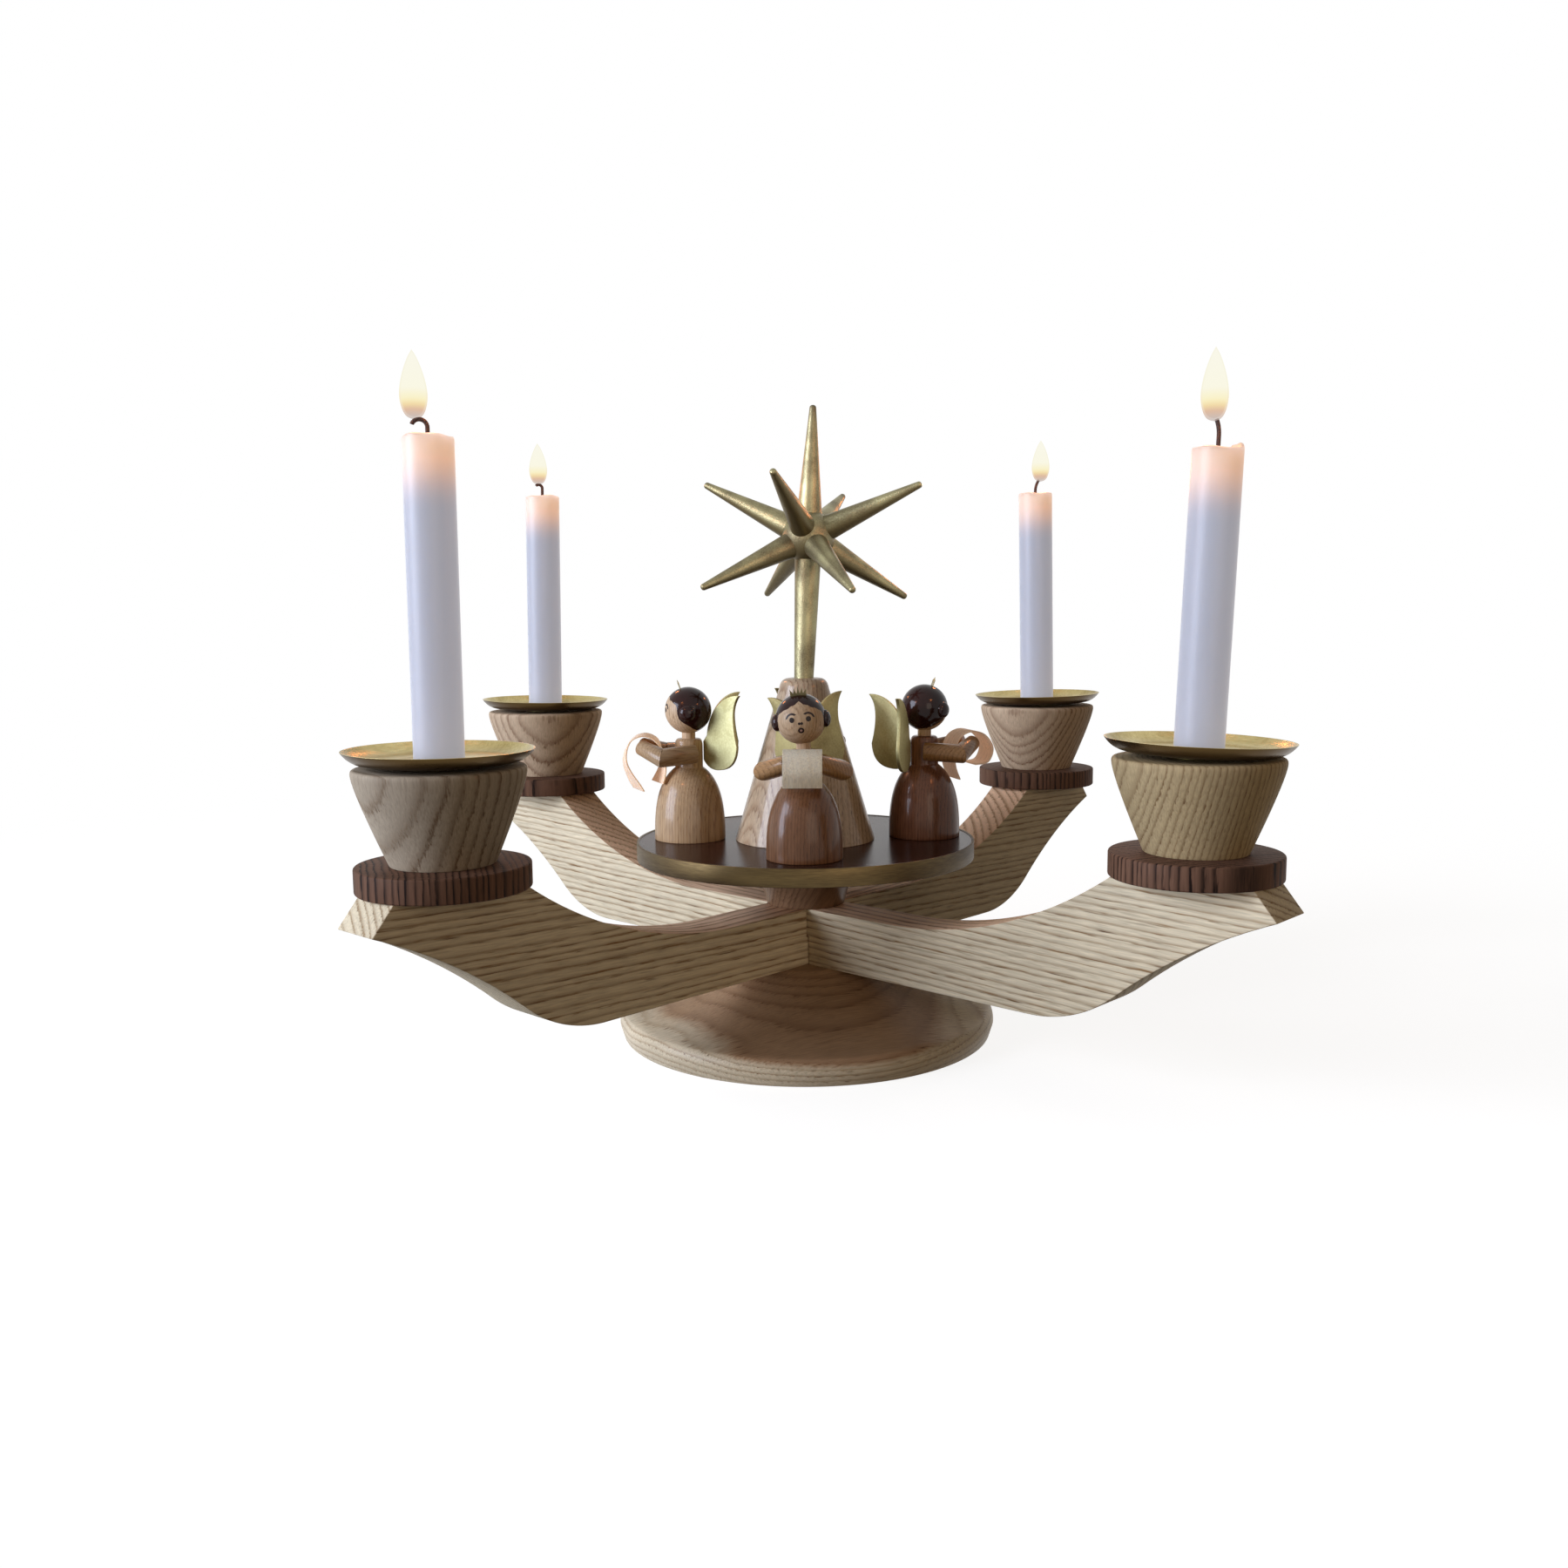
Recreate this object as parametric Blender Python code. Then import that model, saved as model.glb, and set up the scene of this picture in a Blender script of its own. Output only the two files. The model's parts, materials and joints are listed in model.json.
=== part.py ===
"""Advent candle holder, in metres with +Z up.

A turned foot carries two half-lapped beams whose raised ends hold four candle cups. A collar on the
crossing carries a round plate with a cone and four singing figures, and a gold star stands in the cone. The
origin is the middle of the foot's underside. The front is -Y: the beams run on the diagonals, and a figure
looks out between each two of them.
"""

import math

import bmesh
import bpy
from mathutils import Vector

# Fits
SEAT = 0.0003  # gap at every glued or resting face, and round every peg
WELD = 0.000001

# Facets round a turned piece
WIDE_STEPS = 40
CUP_STEPS = 24
FIGURE_STEPS = 16
FINE_STEPS = 12
PEG_STEPS = 10

# Foot
FOOT_RADIUS = 0.0676
FOOT_UNDERSIDE_RADIUS = 0.0662
FOOT_EDGE_RADIUS = 0.0657
FOOT_EDGE_HEIGHT = 0.0091
FOOT_PAD_RADIUS = 0.0220
FOOT_SWEEP_RADIUS = 0.0370  # where the slope of the pad and the slope of the edge would meet
FOOT_SWEEP_HEIGHT = 0.0145
FOOT_SOCKET_FLOOR = 0.0120

# Beams, with heights above the table
BEAM_WIDTH = 0.0180
BEAM_FLOOR = 0.0262
BEAM_TOP = 0.0462
ARM_TOP = 0.0746
ARM_TOP_REACH = 0.1722
ARM_REACH = 0.1789
ARM_TIP_HEIGHT = 0.0665
ARM_TIP_SLOPE = 22.0
SADDLE_START = 0.0460
SADDLE_RADIUS = 0.1400
HEEL_START = 0.1010
HEEL_RADIUS = 0.0450
HEEL_SLOPE = 40.5

# Collar
COLLAR_FOOT_RADIUS = 0.0140
COLLAR_HEAD_RADIUS = 0.0205
COLLAR_WAIST_RADIUS = 0.0160
COLLAR_PEG_RADIUS = 0.0060
COLLAR_SOCKET_DEPTH = 0.0080

# Plate and its brass band
PLATE_RADIUS = 0.0592
PLATE_BOTTOM = 0.0636
PLATE_TOP = 0.06945
BAND_THICKNESS = 0.0008
BAND_PROUD = 0.0002

# Cone
CONE_RADIUS = 0.0250
CONE_NECK_RADIUS = 0.0089
CONE_NECK_HEIGHT = 0.1234
CONE_TOP_RADIUS = 0.0052
CONE_TOP = 0.1271
CONE_PEG_RADIUS = 0.0050

# Star, with heights above the cone
STAR_LEAN = (-1.0, 2.4)  # degrees about X and Y: the stem stands a little askew in the cone
STEM_RADIUS = 0.0034
STEM_TOP_RADIUS = 0.0046
STEM_PEG_LENGTH = 0.0110
HUB_HEIGHT = 0.0494
HUB_RADIUS = 0.0092
HUB_FLAT = 0.0080  # from the hub's centre to the flat that a spike stands on
SPIKE_RADIUS = 0.0044
SPIKE_TIP_RADIUS = 0.0012
SPIKE_REACH = 0.0438  # from the hub's centre to the tip
TOP_SPIKE_REACH = 0.0452
SPIKE_PEG_RADIUS = 0.0014
SPIKE_PEG_LENGTH = 0.0037
SPIKE_RINGS = (("upper", 24.5, -21.0), ("lower", -26.5, 20.0))  # name, elevation and first azimuth in degrees

# Figures, with heights above the plate
FIGURES = (  # name, azimuth, distance from the middle, facing, head's turn, tilt, wing spread, wing lift, song sheet
    ("front", -93.0, 0.0405, -4.0, 0.0, -5.0, 45.0, 0.0012, "short"),
    ("right", 4.0, 0.0435, 103.0, 35.0, 0.0, 56.0, -0.0012, "curled"),
    ("back", 87.7, 0.0422, 174.0, 0.0, 0.0, 32.0, 0.0008, "long"),
    ("left", 175.0, 0.0415, -90.0, 0.0, 0.0, 45.0, 0.0, "long"),
)
SKIRT_RADIUS = 0.0127
SKIRT_CROWN = 0.0276  # height at which the skirt's dome would close
SKIRT_FULLNESS = 2.8
WAIST_HEIGHT = 0.0260
TORSO_RADIUS = 0.0050
SHOULDER_HEIGHT = 0.0363
NECK_RADIUS = 0.0024
NECK_PEG_LENGTH = 0.0045
HEAD_RADIUS = 0.0083
HEAD_HEIGHT = 0.0464
BUN_RADIUS = 0.0029
BUN_THICKNESS = 0.0019
BUN_INSET = 0.0004
BUN_HEIGHT = 0.0458
ARM_RADII = (0.0033, 0.0033, 0.0027)
ARM_PATH = ((0.0074, -0.0005, 0.0310), (0.0120, -0.0090, 0.0305), (0.0046, -0.0168, 0.0336))
WING_THICKNESS = 0.0012
BACK_HEIGHT = 0.0520  # of the wing tips, about which the wings tilt
WING_SPINE = (0.0285, 0.0352)
WING_CURVES = (  # control point and end point of each curve, as (distance from the spine, height)
    ((0.0030, 0.0246), (0.0080, 0.0252)),
    ((0.0165, 0.0258), (0.0170, 0.0340)),
    ((0.0146, 0.0420), (0.0156, 0.0470)),
    ((0.0162, 0.0500), (0.0183, 0.0520)),
    ((0.0113, 0.0523), (0.0061, 0.0468)),
    ((0.0022, 0.0423), (0.0019, 0.0373)),
)
SCROLL_WIDTH = 0.0125
SCROLL_THICKNESS = 0.0005
SCROLL_HANDS = ((0.0116, 0.0358), (0.0160, 0.0377))  # (distance in front of the figure's axis, height)
SCROLL_ENDS = {  # the end next to the figure, up to the hands, and the free end in front of them
    "short": (((0.0100, 0.0285), (0.0096, 0.0325)), ((0.0206, 0.0362), (0.0227, 0.0312), (0.0214, 0.0262))),
    "long": (
        ((0.0114, 0.0205), (0.0096, 0.0255), (0.0094, 0.0310)),
        ((0.0204, 0.0358), (0.0228, 0.0305), (0.0222, 0.0255), (0.0182, 0.0180)),
    ),
    "curled": (
        ((0.0114, 0.0205), (0.0096, 0.0255), (0.0094, 0.0310)),
        ((0.0210, 0.0362), (0.0240, 0.0315), (0.0222, 0.0266), (0.0172, 0.0258)),
    ),
}

# Candle stations
STATIONS = (  # name, azimuth, lean of the loose pan and candle towards +X, candle's height above the cup
    ("front_left", 225.0, 0.3, 0.0897),
    ("front_right", 315.0, 2.0, 0.0852),
    ("back_right", 45.0, -1.2, 0.0903),
    ("back_left", 135.0, 0.9, 0.0905),
)
STATION_CIRCLE = 0.1505
DISC_RADIUS = 0.02445
DISC_TOP = 0.0818
DISC_ROUNDING = 0.0006
CUP_FOOT_RADIUS = 0.0147
CUP_RADIUS = 0.0240
CUP_TOP = 0.1090
CUP_ROUNDING = 0.0007
CUP_FLARE = 0.42  # radius gained for each unit of height at the cup's foot
CUP_PEG_RADIUS = 0.0050
CUP_PEG_DEPTH = 0.0120
CUP_BORE_PLAY = 0.0008  # the pans hang loosely, so some stand askew

# Drip pans, with heights above the cup
PAN_RIM_RADIUS = 0.0265
PAN_FLOOR_RADIUS = 0.0200
PAN_LIFT = 0.0011
PAN_RIM_HEIGHT = 0.0049
PAN_WALL = 0.0008
SOCKET_DEPTH = 0.0140
SOCKET_RADIUS = 0.0073

# Candles
CANDLE_RADIUS = 0.0070
CANDLE_POOL_DEPTH = 0.0010
WICK_RADIUS = 0.0006
WICK_DEPTH = 0.0140
WICKS = {  # straight height above the wax, bend radius, bend and direction in degrees
    "front_left": (0.0032, 0.0021, 160.0, 190.0),
    "front_right": (0.0044, 0.0120, 22.0, 160.0),
    "back_right": (0.0017, 0.0080, 37.0, 10.0),
    "back_left": (0.0042, 0.0015, 140.0, 200.0),
}


def linear(code):
    """Linear RGBA of a #RRGGBB colour."""
    parts = [int(code[i : i + 2], 16) / 255.0 for i in (1, 3, 5)]
    return [c / 12.92 if c <= 0.04045 else ((c + 0.055) / 1.055) ** 2.4 for c in parts] + [1.0]


def finish(name, code, roughness, metallic=0.0):
    """A plain material."""
    material = bpy.data.materials.new(name)
    material.use_nodes = True
    shader = material.node_tree.nodes["Principled BSDF"]
    shader.inputs["Base Color"].default_value = linear(code)
    shader.inputs["Roughness"].default_value = roughness
    shader.inputs["Metallic"].default_value = metallic
    return material


def arc(centre, radius, start, end, count):
    """Points of a circular arc, with its angles in degrees."""
    angles = [math.radians(start + (end - start) * i / count) for i in range(count + 1)]
    return [(centre[0] + radius * math.cos(a), centre[1] + radius * math.sin(a)) for a in angles]


def curve(start, control, end, count):
    """Points of a quadratic curve, without its first point."""
    points = []
    for i in range(1, count + 1):
        t = i / count
        weights = ((1.0 - t) ** 2, 2.0 * t * (1.0 - t), t * t)
        points.append(tuple(sum(w * p[k] for w, p in zip(weights, (start, control, end))) for k in (0, 1)))
    return points


def through(points, count):
    """A smooth path through all the points, with this many steps between two of them."""
    padded = [points[0], *points, points[-1]]
    path = [points[0]]
    for a, b, c, d in zip(padded, padded[1:], padded[2:], padded[3:]):
        for i in range(1, count + 1):
            t = i / count
            weights = (
                (-t + 2.0 * t**2 - t**3) / 2.0,
                (2.0 - 5.0 * t**2 + 3.0 * t**3) / 2.0,
                (t + 4.0 * t**2 - 3.0 * t**3) / 2.0,
                (t**3 - t**2) / 2.0,
            )
            path.append(tuple(sum(w * p[k] for w, p in zip(weights, (a, b, c, d))) for k in (0, 1)))
    return path


def meeting(first, first_slope, second, second_slope):
    """Where two lines meet, each given by a point and a slope in degrees."""
    a = math.tan(math.radians(first_slope))
    b = math.tan(math.radians(second_slope))
    x = (second[1] - first[1] + a * first[0] - b * second[0]) / (a - b)
    return (x, first[1] + a * (x - first[0]))


def empty(name, location, rotation=(0.0, 0.0, 0.0)):
    """A place that pieces are parented to, turned by these degrees."""
    place = bpy.data.objects.new(name, None)
    place.location = location
    place.rotation_euler = [math.radians(angle) for angle in rotation]
    bpy.context.scene.collection.objects.link(place)
    return place


def piece(name, shape, material, parent=None):
    """Turns a finished bmesh into an object, shaded smooth but for its real edges."""
    bmesh.ops.remove_doubles(shape, verts=shape.verts, dist=WELD)
    bmesh.ops.recalc_face_normals(shape, faces=shape.faces)
    mesh = bpy.data.meshes.new(name)
    shape.to_mesh(mesh)
    shape.free()
    mesh.shade_smooth()
    mesh.set_sharp_from_angle(angle=math.radians(40.0))
    obj = bpy.data.objects.new(name, mesh)
    obj.parent = parent
    if material:
        mesh.materials.append(material)
    bpy.context.scene.collection.objects.link(obj)
    return obj


def turned(name, profile, steps, material, parent=None, ring=False):
    """A lathe piece from (radius, height) points. A ring's profile closes on itself, away from the axis."""
    shape = bmesh.new()
    points = [shape.verts.new((radius, 0.0, height)) for radius, height in profile]
    edges = [shape.edges.new(pair) for pair in zip(points, points[1:])]
    if ring:
        edges.append(shape.edges.new((points[-1], points[0])))
    bmesh.ops.spin(
        shape,
        geom=points + edges,
        axis=(0.0, 0.0, 1.0),
        cent=(0.0, 0.0, 0.0),
        angle=math.tau,
        steps=steps,
        use_merge=True,
    )
    return piece(name, shape, material, parent)


def skin(shape, rings):
    """Closes a row of equal rings of vertices into a solid."""
    for a, b in zip(rings, rings[1:]):
        for i in range(len(a)):
            j = (i + 1) % len(a)
            shape.faces.new((a[i], a[j], b[j], b[i]))
    shape.faces.new(rings[0])
    shape.faces.new(rings[-1])


def bar(name, path, radii, sides, material, parent):
    """A round bar through the points of the path, mitred where it turns."""
    shape = bmesh.new()
    path = [Vector(point) for point in path]
    headings = [(b - a).normalized() for a, b in zip(path, path[1:])]
    turn = headings[0].to_track_quat("Z", "Y")
    rings = []
    for i, (point, radius) in enumerate(zip(path, radii)):
        before = headings[max(i - 1, 0)]
        after = headings[min(i, len(headings) - 1)]
        mitre = (before + after).normalized()
        ring = []
        for k in range(sides):
            angle = math.tau * k / sides
            out = turn @ Vector((radius * math.cos(angle), radius * math.sin(angle), 0.0))
            ring.append(shape.verts.new(point + out - before * (out.dot(mitre) / before.dot(mitre))))
        rings.append(ring)
        turn = before.rotation_difference(after) @ turn
    skin(shape, rings)
    return piece(name, shape, material, parent)


def combine(target, operand, operation):
    """Adds a Boolean that cuts the hidden operand from the target, or joins it on."""
    operand.hide_render = True
    operand.display_type = "WIRE"
    modifier = target.modifiers.new(operand.name, "BOOLEAN")
    modifier.operation = operation
    modifier.solver = "EXACT"
    modifier.object = operand


def drill(target, name, profile, steps, parent, place=(0.0, 0.0, 0.0), rotation=(0.0, 0.0, 0.0)):
    """Cuts a stepped round hole, given as a (radius, height) profile, at a place in the parent's frame."""
    cutter = turned(name, profile, steps, None, parent)
    cutter.location = place
    cutter.rotation_euler = [math.radians(angle) for angle in rotation]
    combine(target, cutter, "DIFFERENCE")


def hole(radius, low, high):
    """Profile of a plain hole."""
    return [(0.0, high), (radius, high), (radius, low), (0.0, low)]


def foot(material):
    """The low turned foot, with a socket for the collar's peg."""
    socket = COLLAR_PEG_RADIUS + SEAT
    top = BEAM_FLOOR - SEAT
    pad = (FOOT_PAD_RADIUS, top)
    edge = (FOOT_EDGE_RADIUS, FOOT_EDGE_HEIGHT)
    belly = (FOOT_RADIUS, FOOT_EDGE_HEIGHT * 0.5)
    profile = [(0.0, FOOT_SOCKET_FLOOR), (socket, FOOT_SOCKET_FLOOR), (socket, top), pad]
    profile += curve(pad, (FOOT_SWEEP_RADIUS, FOOT_SWEEP_HEIGHT), edge, 5)
    profile += curve(edge, (FOOT_RADIUS, FOOT_EDGE_HEIGHT * 0.88), belly, 3)
    profile += [(FOOT_UNDERSIDE_RADIUS, 0.0), (0.0, 0.0)]
    turned("foot", profile, WIDE_STEPS, material)


def arm_outline(lapped_on_top):
    """Half of a beam's (reach, height) outline, out along the top of the arm and back along its underside."""
    lap = BEAM_WIDTH / 2.0 + SEAT
    lap_height = (BEAM_FLOOR + BEAM_TOP) / 2.0
    rise = math.degrees(math.acos(1.0 - (ARM_TOP - BEAM_TOP) / SADDLE_RADIUS))
    saddle = arc((SADDLE_START, BEAM_TOP + SADDLE_RADIUS), SADDLE_RADIUS, -90.0, rise - 90.0, 9)
    heel = arc((HEEL_START, BEAM_FLOOR + HEEL_RADIUS), HEEL_RADIUS, HEEL_SLOPE - 90.0, -90.0, 6)
    tip = (ARM_REACH, ARM_TIP_HEIGHT)
    under = curve(tip, meeting(heel[0], HEEL_SLOPE, tip, ARM_TIP_SLOPE), heel[0], 6)
    outline = saddle + [(ARM_TOP_REACH, ARM_TOP), tip] + under + heel[1:]
    if lapped_on_top:
        return [(lap, lap_height - SEAT / 2.0), (lap, BEAM_TOP)] + outline
    return outline + [(lap, BEAM_FLOOR), (lap, lap_height + SEAT / 2.0)]


def beam(name, heading, lapped_on_top, material):
    """One bent-up beam: the outline extruded, lapped at the crossing and drilled for the pegs."""
    half = arm_outline(lapped_on_top)
    outline = half + [(-reach, height) for reach, height in reversed(half)]
    shape = bmesh.new()
    face = shape.faces.new([shape.verts.new((x, -BEAM_WIDTH / 2.0, z)) for x, z in outline])
    side = bmesh.ops.extrude_face_region(shape, geom=[face])["geom"]
    moved = [item for item in side if isinstance(item, bmesh.types.BMVert)]
    bmesh.ops.translate(shape, verts=moved, vec=(0.0, BEAM_WIDTH, 0.0))
    obj = piece(name, shape, material)
    obj.rotation_euler.z = math.radians(heading)
    crossing = hole(COLLAR_PEG_RADIUS + SEAT, BEAM_FLOOR - 0.01, BEAM_TOP + 0.01)
    mortise = hole(CUP_PEG_RADIUS + SEAT, ARM_TOP - CUP_PEG_DEPTH - SEAT, ARM_TOP + 0.01)
    drill(obj, name + "_crossing_hole", crossing, FINE_STEPS, obj)
    for end in (-1.0, 1.0):
        drill(obj, name + "_mortise", mortise, FINE_STEPS, obj, (end * STATION_CIRCLE, 0.0, 0.0))


def collar(material):
    """The tulip-shaped collar, with a peg through the crossing and a socket for the cone's peg."""
    top = PLATE_BOTTOM - SEAT
    bottom = BEAM_TOP + SEAT
    socket = CONE_PEG_RADIUS + SEAT
    peg_end = FOOT_SOCKET_FLOOR + SEAT
    head = (COLLAR_HEAD_RADIUS, top)
    waist = (COLLAR_WAIST_RADIUS, (top + bottom) / 2.0)
    profile = [(0.0, top - COLLAR_SOCKET_DEPTH), (socket, top - COLLAR_SOCKET_DEPTH), (socket, top), head]
    profile += curve(head, waist, (COLLAR_FOOT_RADIUS, bottom), 4)
    profile += [(COLLAR_PEG_RADIUS, bottom), (COLLAR_PEG_RADIUS, peg_end), (0.0, peg_end)]
    turned("collar", profile, CUP_STEPS, material)


def plate(material, brass):
    """The round plate and the brass band bent round its edge."""
    inner = CONE_PEG_RADIUS + SEAT
    profile = [(inner, PLATE_TOP), (PLATE_RADIUS, PLATE_TOP)]
    profile += [(PLATE_RADIUS, PLATE_BOTTOM), (inner, PLATE_BOTTOM)]
    turned("figure_plate", profile, WIDE_STEPS, material, ring=True)
    near = PLATE_RADIUS + SEAT
    far = near + BAND_THICKNESS
    top = PLATE_TOP + BAND_PROUD
    bottom = PLATE_BOTTOM - BAND_PROUD
    profile = [(near, top), (far, top), (far, bottom), (near, bottom)]
    turned("brass_band", profile, WIDE_STEPS, brass, ring=True)


def cone(material, star):
    """The turned cone, pegged through the plate and drilled on the star's own axis."""
    bottom = PLATE_TOP + SEAT
    peg_end = PLATE_BOTTOM - SEAT - COLLAR_SOCKET_DEPTH + SEAT
    neck = (CONE_NECK_RADIUS, CONE_NECK_HEIGHT)
    crown = (CONE_TOP_RADIUS, CONE_TOP)
    profile = [(0.0, CONE_TOP), crown]
    profile += list(reversed(curve(neck, (CONE_NECK_RADIUS * 0.93, CONE_TOP), crown, 3)))[1:]
    profile += [neck, (CONE_RADIUS, bottom), (CONE_PEG_RADIUS, bottom)]
    profile += [(CONE_PEG_RADIUS, peg_end), (0.0, peg_end)]
    obj = turned("star_cone", profile, CUP_STEPS, material)
    drill(obj, "star_hole", hole(STEM_RADIUS + SEAT, -STEM_PEG_LENGTH - SEAT, 0.01), FINE_STEPS, star)


def spike_outline(base, reach, radius):
    """A spike's taper and rounded tip, from its base out."""
    shoulder = reach - SPIKE_TIP_RADIUS
    tip = curve((SPIKE_TIP_RADIUS, shoulder), (SPIKE_TIP_RADIUS, reach), (0.0, reach), 2)
    return [(radius, base), (SPIKE_TIP_RADIUS, shoulder)] + tip


def star_post(material, star):
    """Stem, ball hub and top spike, turned in one, with a flat and a hole for each of the other spikes."""
    spike_foot = math.degrees(math.acos(SPIKE_RADIUS / HUB_RADIUS))
    stem_head = -math.degrees(math.acos(STEM_TOP_RADIUS / HUB_RADIUS))
    ball = arc((0.0, HUB_HEIGHT), HUB_RADIUS, spike_foot, stem_head, 6)
    top = spike_outline(ball[0][1], HUB_HEIGHT + TOP_SPIKE_REACH, SPIKE_RADIUS)
    profile = list(reversed(top)) + ball[1:]
    profile += [(STEM_RADIUS, 0.0), (STEM_RADIUS, -STEM_PEG_LENGTH), (0.0, -STEM_PEG_LENGTH)]
    return turned("star_post", profile, FINE_STEPS, material, star)


def star_spikes(material, star, post):
    """Two rings of four spikes, each pegged into its own flat on the hub."""
    base = HUB_FLAT + SEAT
    peg_end = HUB_FLAT - SPIKE_PEG_LENGTH
    profile = [(0.0, peg_end), (SPIKE_PEG_RADIUS, peg_end), (SPIKE_PEG_RADIUS, base)]
    profile += spike_outline(base, SPIKE_REACH, SPIKE_RADIUS)
    bore = SPIKE_PEG_RADIUS + SEAT
    wide = SPIKE_RADIUS + SEAT
    seat = [(0.0, 2.0 * HUB_FLAT), (wide, 2.0 * HUB_FLAT), (wide, HUB_FLAT), (bore, HUB_FLAT)]
    seat += [(bore, peg_end - SEAT), (0.0, peg_end - SEAT)]
    for ring, elevation, first in SPIKE_RINGS:
        for i in range(4):
            turn = (0.0, 90.0 - elevation, first + 90.0 * i)
            spike = turned(f"star_spike_{ring}_{i + 1}", profile, PEG_STEPS, material, star)
            spike.location.z = HUB_HEIGHT
            spike.rotation_euler = [math.radians(angle) for angle in turn]
            drill(post, f"spike_seat_{ring}_{i + 1}", seat, PEG_STEPS, star, (0.0, 0.0, HUB_HEIGHT), turn)


def skirt_radius(height):
    """Radius of the skirt's dome at this height."""
    return SKIRT_RADIUS * math.sqrt(1.0 - (height / SKIRT_CROWN) ** SKIRT_FULLNESS)


def figure_body(name, material, place, nape):
    """Bell skirt, waist and round shoulders, turned in one, with a socket for the neck."""
    brow = (TORSO_RADIUS * 0.72, SHOULDER_HEIGHT)
    profile = [(0.0, SHOULDER_HEIGHT), brow]
    profile += curve(brow, (TORSO_RADIUS, SHOULDER_HEIGHT), (TORSO_RADIUS, SHOULDER_HEIGHT * 0.92), 2)
    for height in (1.0, 0.92, 0.78, 0.55, 0.0):
        profile.append((skirt_radius(WAIST_HEIGHT * height), WAIST_HEIGHT * height + SEAT))
    profile.append((0.0, SEAT))
    body = turned(name, profile, FIGURE_STEPS, material, place)
    drill(body, name + "_socket", hole(NECK_RADIUS + SEAT, -NECK_PEG_LENGTH - SEAT, 0.01), FINE_STEPS, nape)


def figure_head(name, material, nape):
    """Ball head on a neck peg, with a round bun of hair on each side."""
    neck = math.degrees(math.acos(NECK_RADIUS / HEAD_RADIUS))
    ball = arc((0.0, HEAD_HEIGHT - SHOULDER_HEIGHT), HEAD_RADIUS, 90.0, -neck, 8)
    profile = [(0.0, ball[0][1])] + ball[1:] + [(NECK_RADIUS, -NECK_PEG_LENGTH), (0.0, -NECK_PEG_LENGTH)]
    head = turned(name, profile, FINE_STEPS, material, nape)
    oval = [(BUN_RADIUS * x, BUN_THICKNESS * z) for x, z in arc((0.0, 0.0), 1.0, 45.0, -45.0, 2)]
    oval = [(0.0, BUN_THICKNESS), *oval, (0.0, -BUN_THICKNESS)]
    for side in (-1.0, 1.0):
        bun = turned(name + "_bun", oval, PEG_STEPS, None, nape)
        bun.location = (side * (HEAD_RADIUS - BUN_INSET), 0.0, BUN_HEIGHT - SHOULDER_HEIGHT)
        bun.rotation_euler.y = math.radians(90.0)
        combine(head, bun, "UNION")


def figure_arms(name, material, place):
    """Two mitred arms, each hollowed where it is glued to the round torso."""
    for hand, side in (("right", -1.0), ("left", 1.0)):
        path = [(side * x, y, z) for x, y, z in ARM_PATH]
        arm = bar(f"{name}_arm_{hand}", path, ARM_RADII, FINE_STEPS, material, place)
        drill(arm, f"{name}_torso_{hand}", hole(TORSO_RADIUS + SEAT, 0.02, 0.05), FIGURE_STEPS, place)


def figure_wings(name, spread, material, back):
    """Both wings as one plate, folded at the spine that is glued to the back."""
    low, high = [height - BACK_HEIGHT for height in WING_SPINE]
    start = (0.0, low)
    rim = []
    for points in WING_CURVES:
        control, end = [(reach, height - BACK_HEIGHT) for reach, height in points]
        rim += curve(start, control, end, 3)
        start = end
    spread = math.radians(spread)
    front = TORSO_RADIUS + SEAT
    rear = front + WING_THICKNESS / math.sin(spread)
    shape = bmesh.new()
    spine = [[shape.verts.new((0.0, y, z)) for z in (low, high)] for y in (front, rear)]
    for side in (-1.0, 1.0):
        faces = []
        for depth, ends in zip((0.0, WING_THICKNESS), spine):
            points = []
            for reach, height in rim:
                x = reach * math.sin(spread) - depth * math.cos(spread)
                y = front + reach * math.cos(spread) + depth * math.sin(spread)
                points.append(shape.verts.new((side * x, y, height)))
            faces.append([ends[0], *points, ends[1]])
            shape.faces.new(faces[-1])
        for (a, b), (c, d) in zip(zip(faces[0], faces[0][1:]), zip(faces[1], faces[1][1:])):
            shape.faces.new((a, b, d, c))
    piece(name + "_wings", shape, material, back)


def figure_scroll(name, curl, material, place):
    """A curled shaving of wood as a song sheet, laid over the hands."""
    inner, outer = SCROLL_ENDS[curl]
    path = [Vector(point) for point in through(inner + SCROLL_HANDS + outer, 2)]
    shape = bmesh.new()
    rings = []
    for i, point in enumerate(path):
        heading = (path[min(i + 1, len(path) - 1)] - path[max(i - 1, 0)]).normalized()
        out = Vector((-heading.y, heading.x)) * SCROLL_THICKNESS / 2.0
        ring = []
        for side, layer in ((-1.0, 1.0), (1.0, 1.0), (1.0, -1.0), (-1.0, -1.0)):
            spot = point + layer * out
            ring.append(shape.verts.new((side * SCROLL_WIDTH / 2.0, -spot.x, spot.y)))
        rings.append(ring)
    skin(shape, rings)
    piece(name + "_scroll", shape, material, place)


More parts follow.
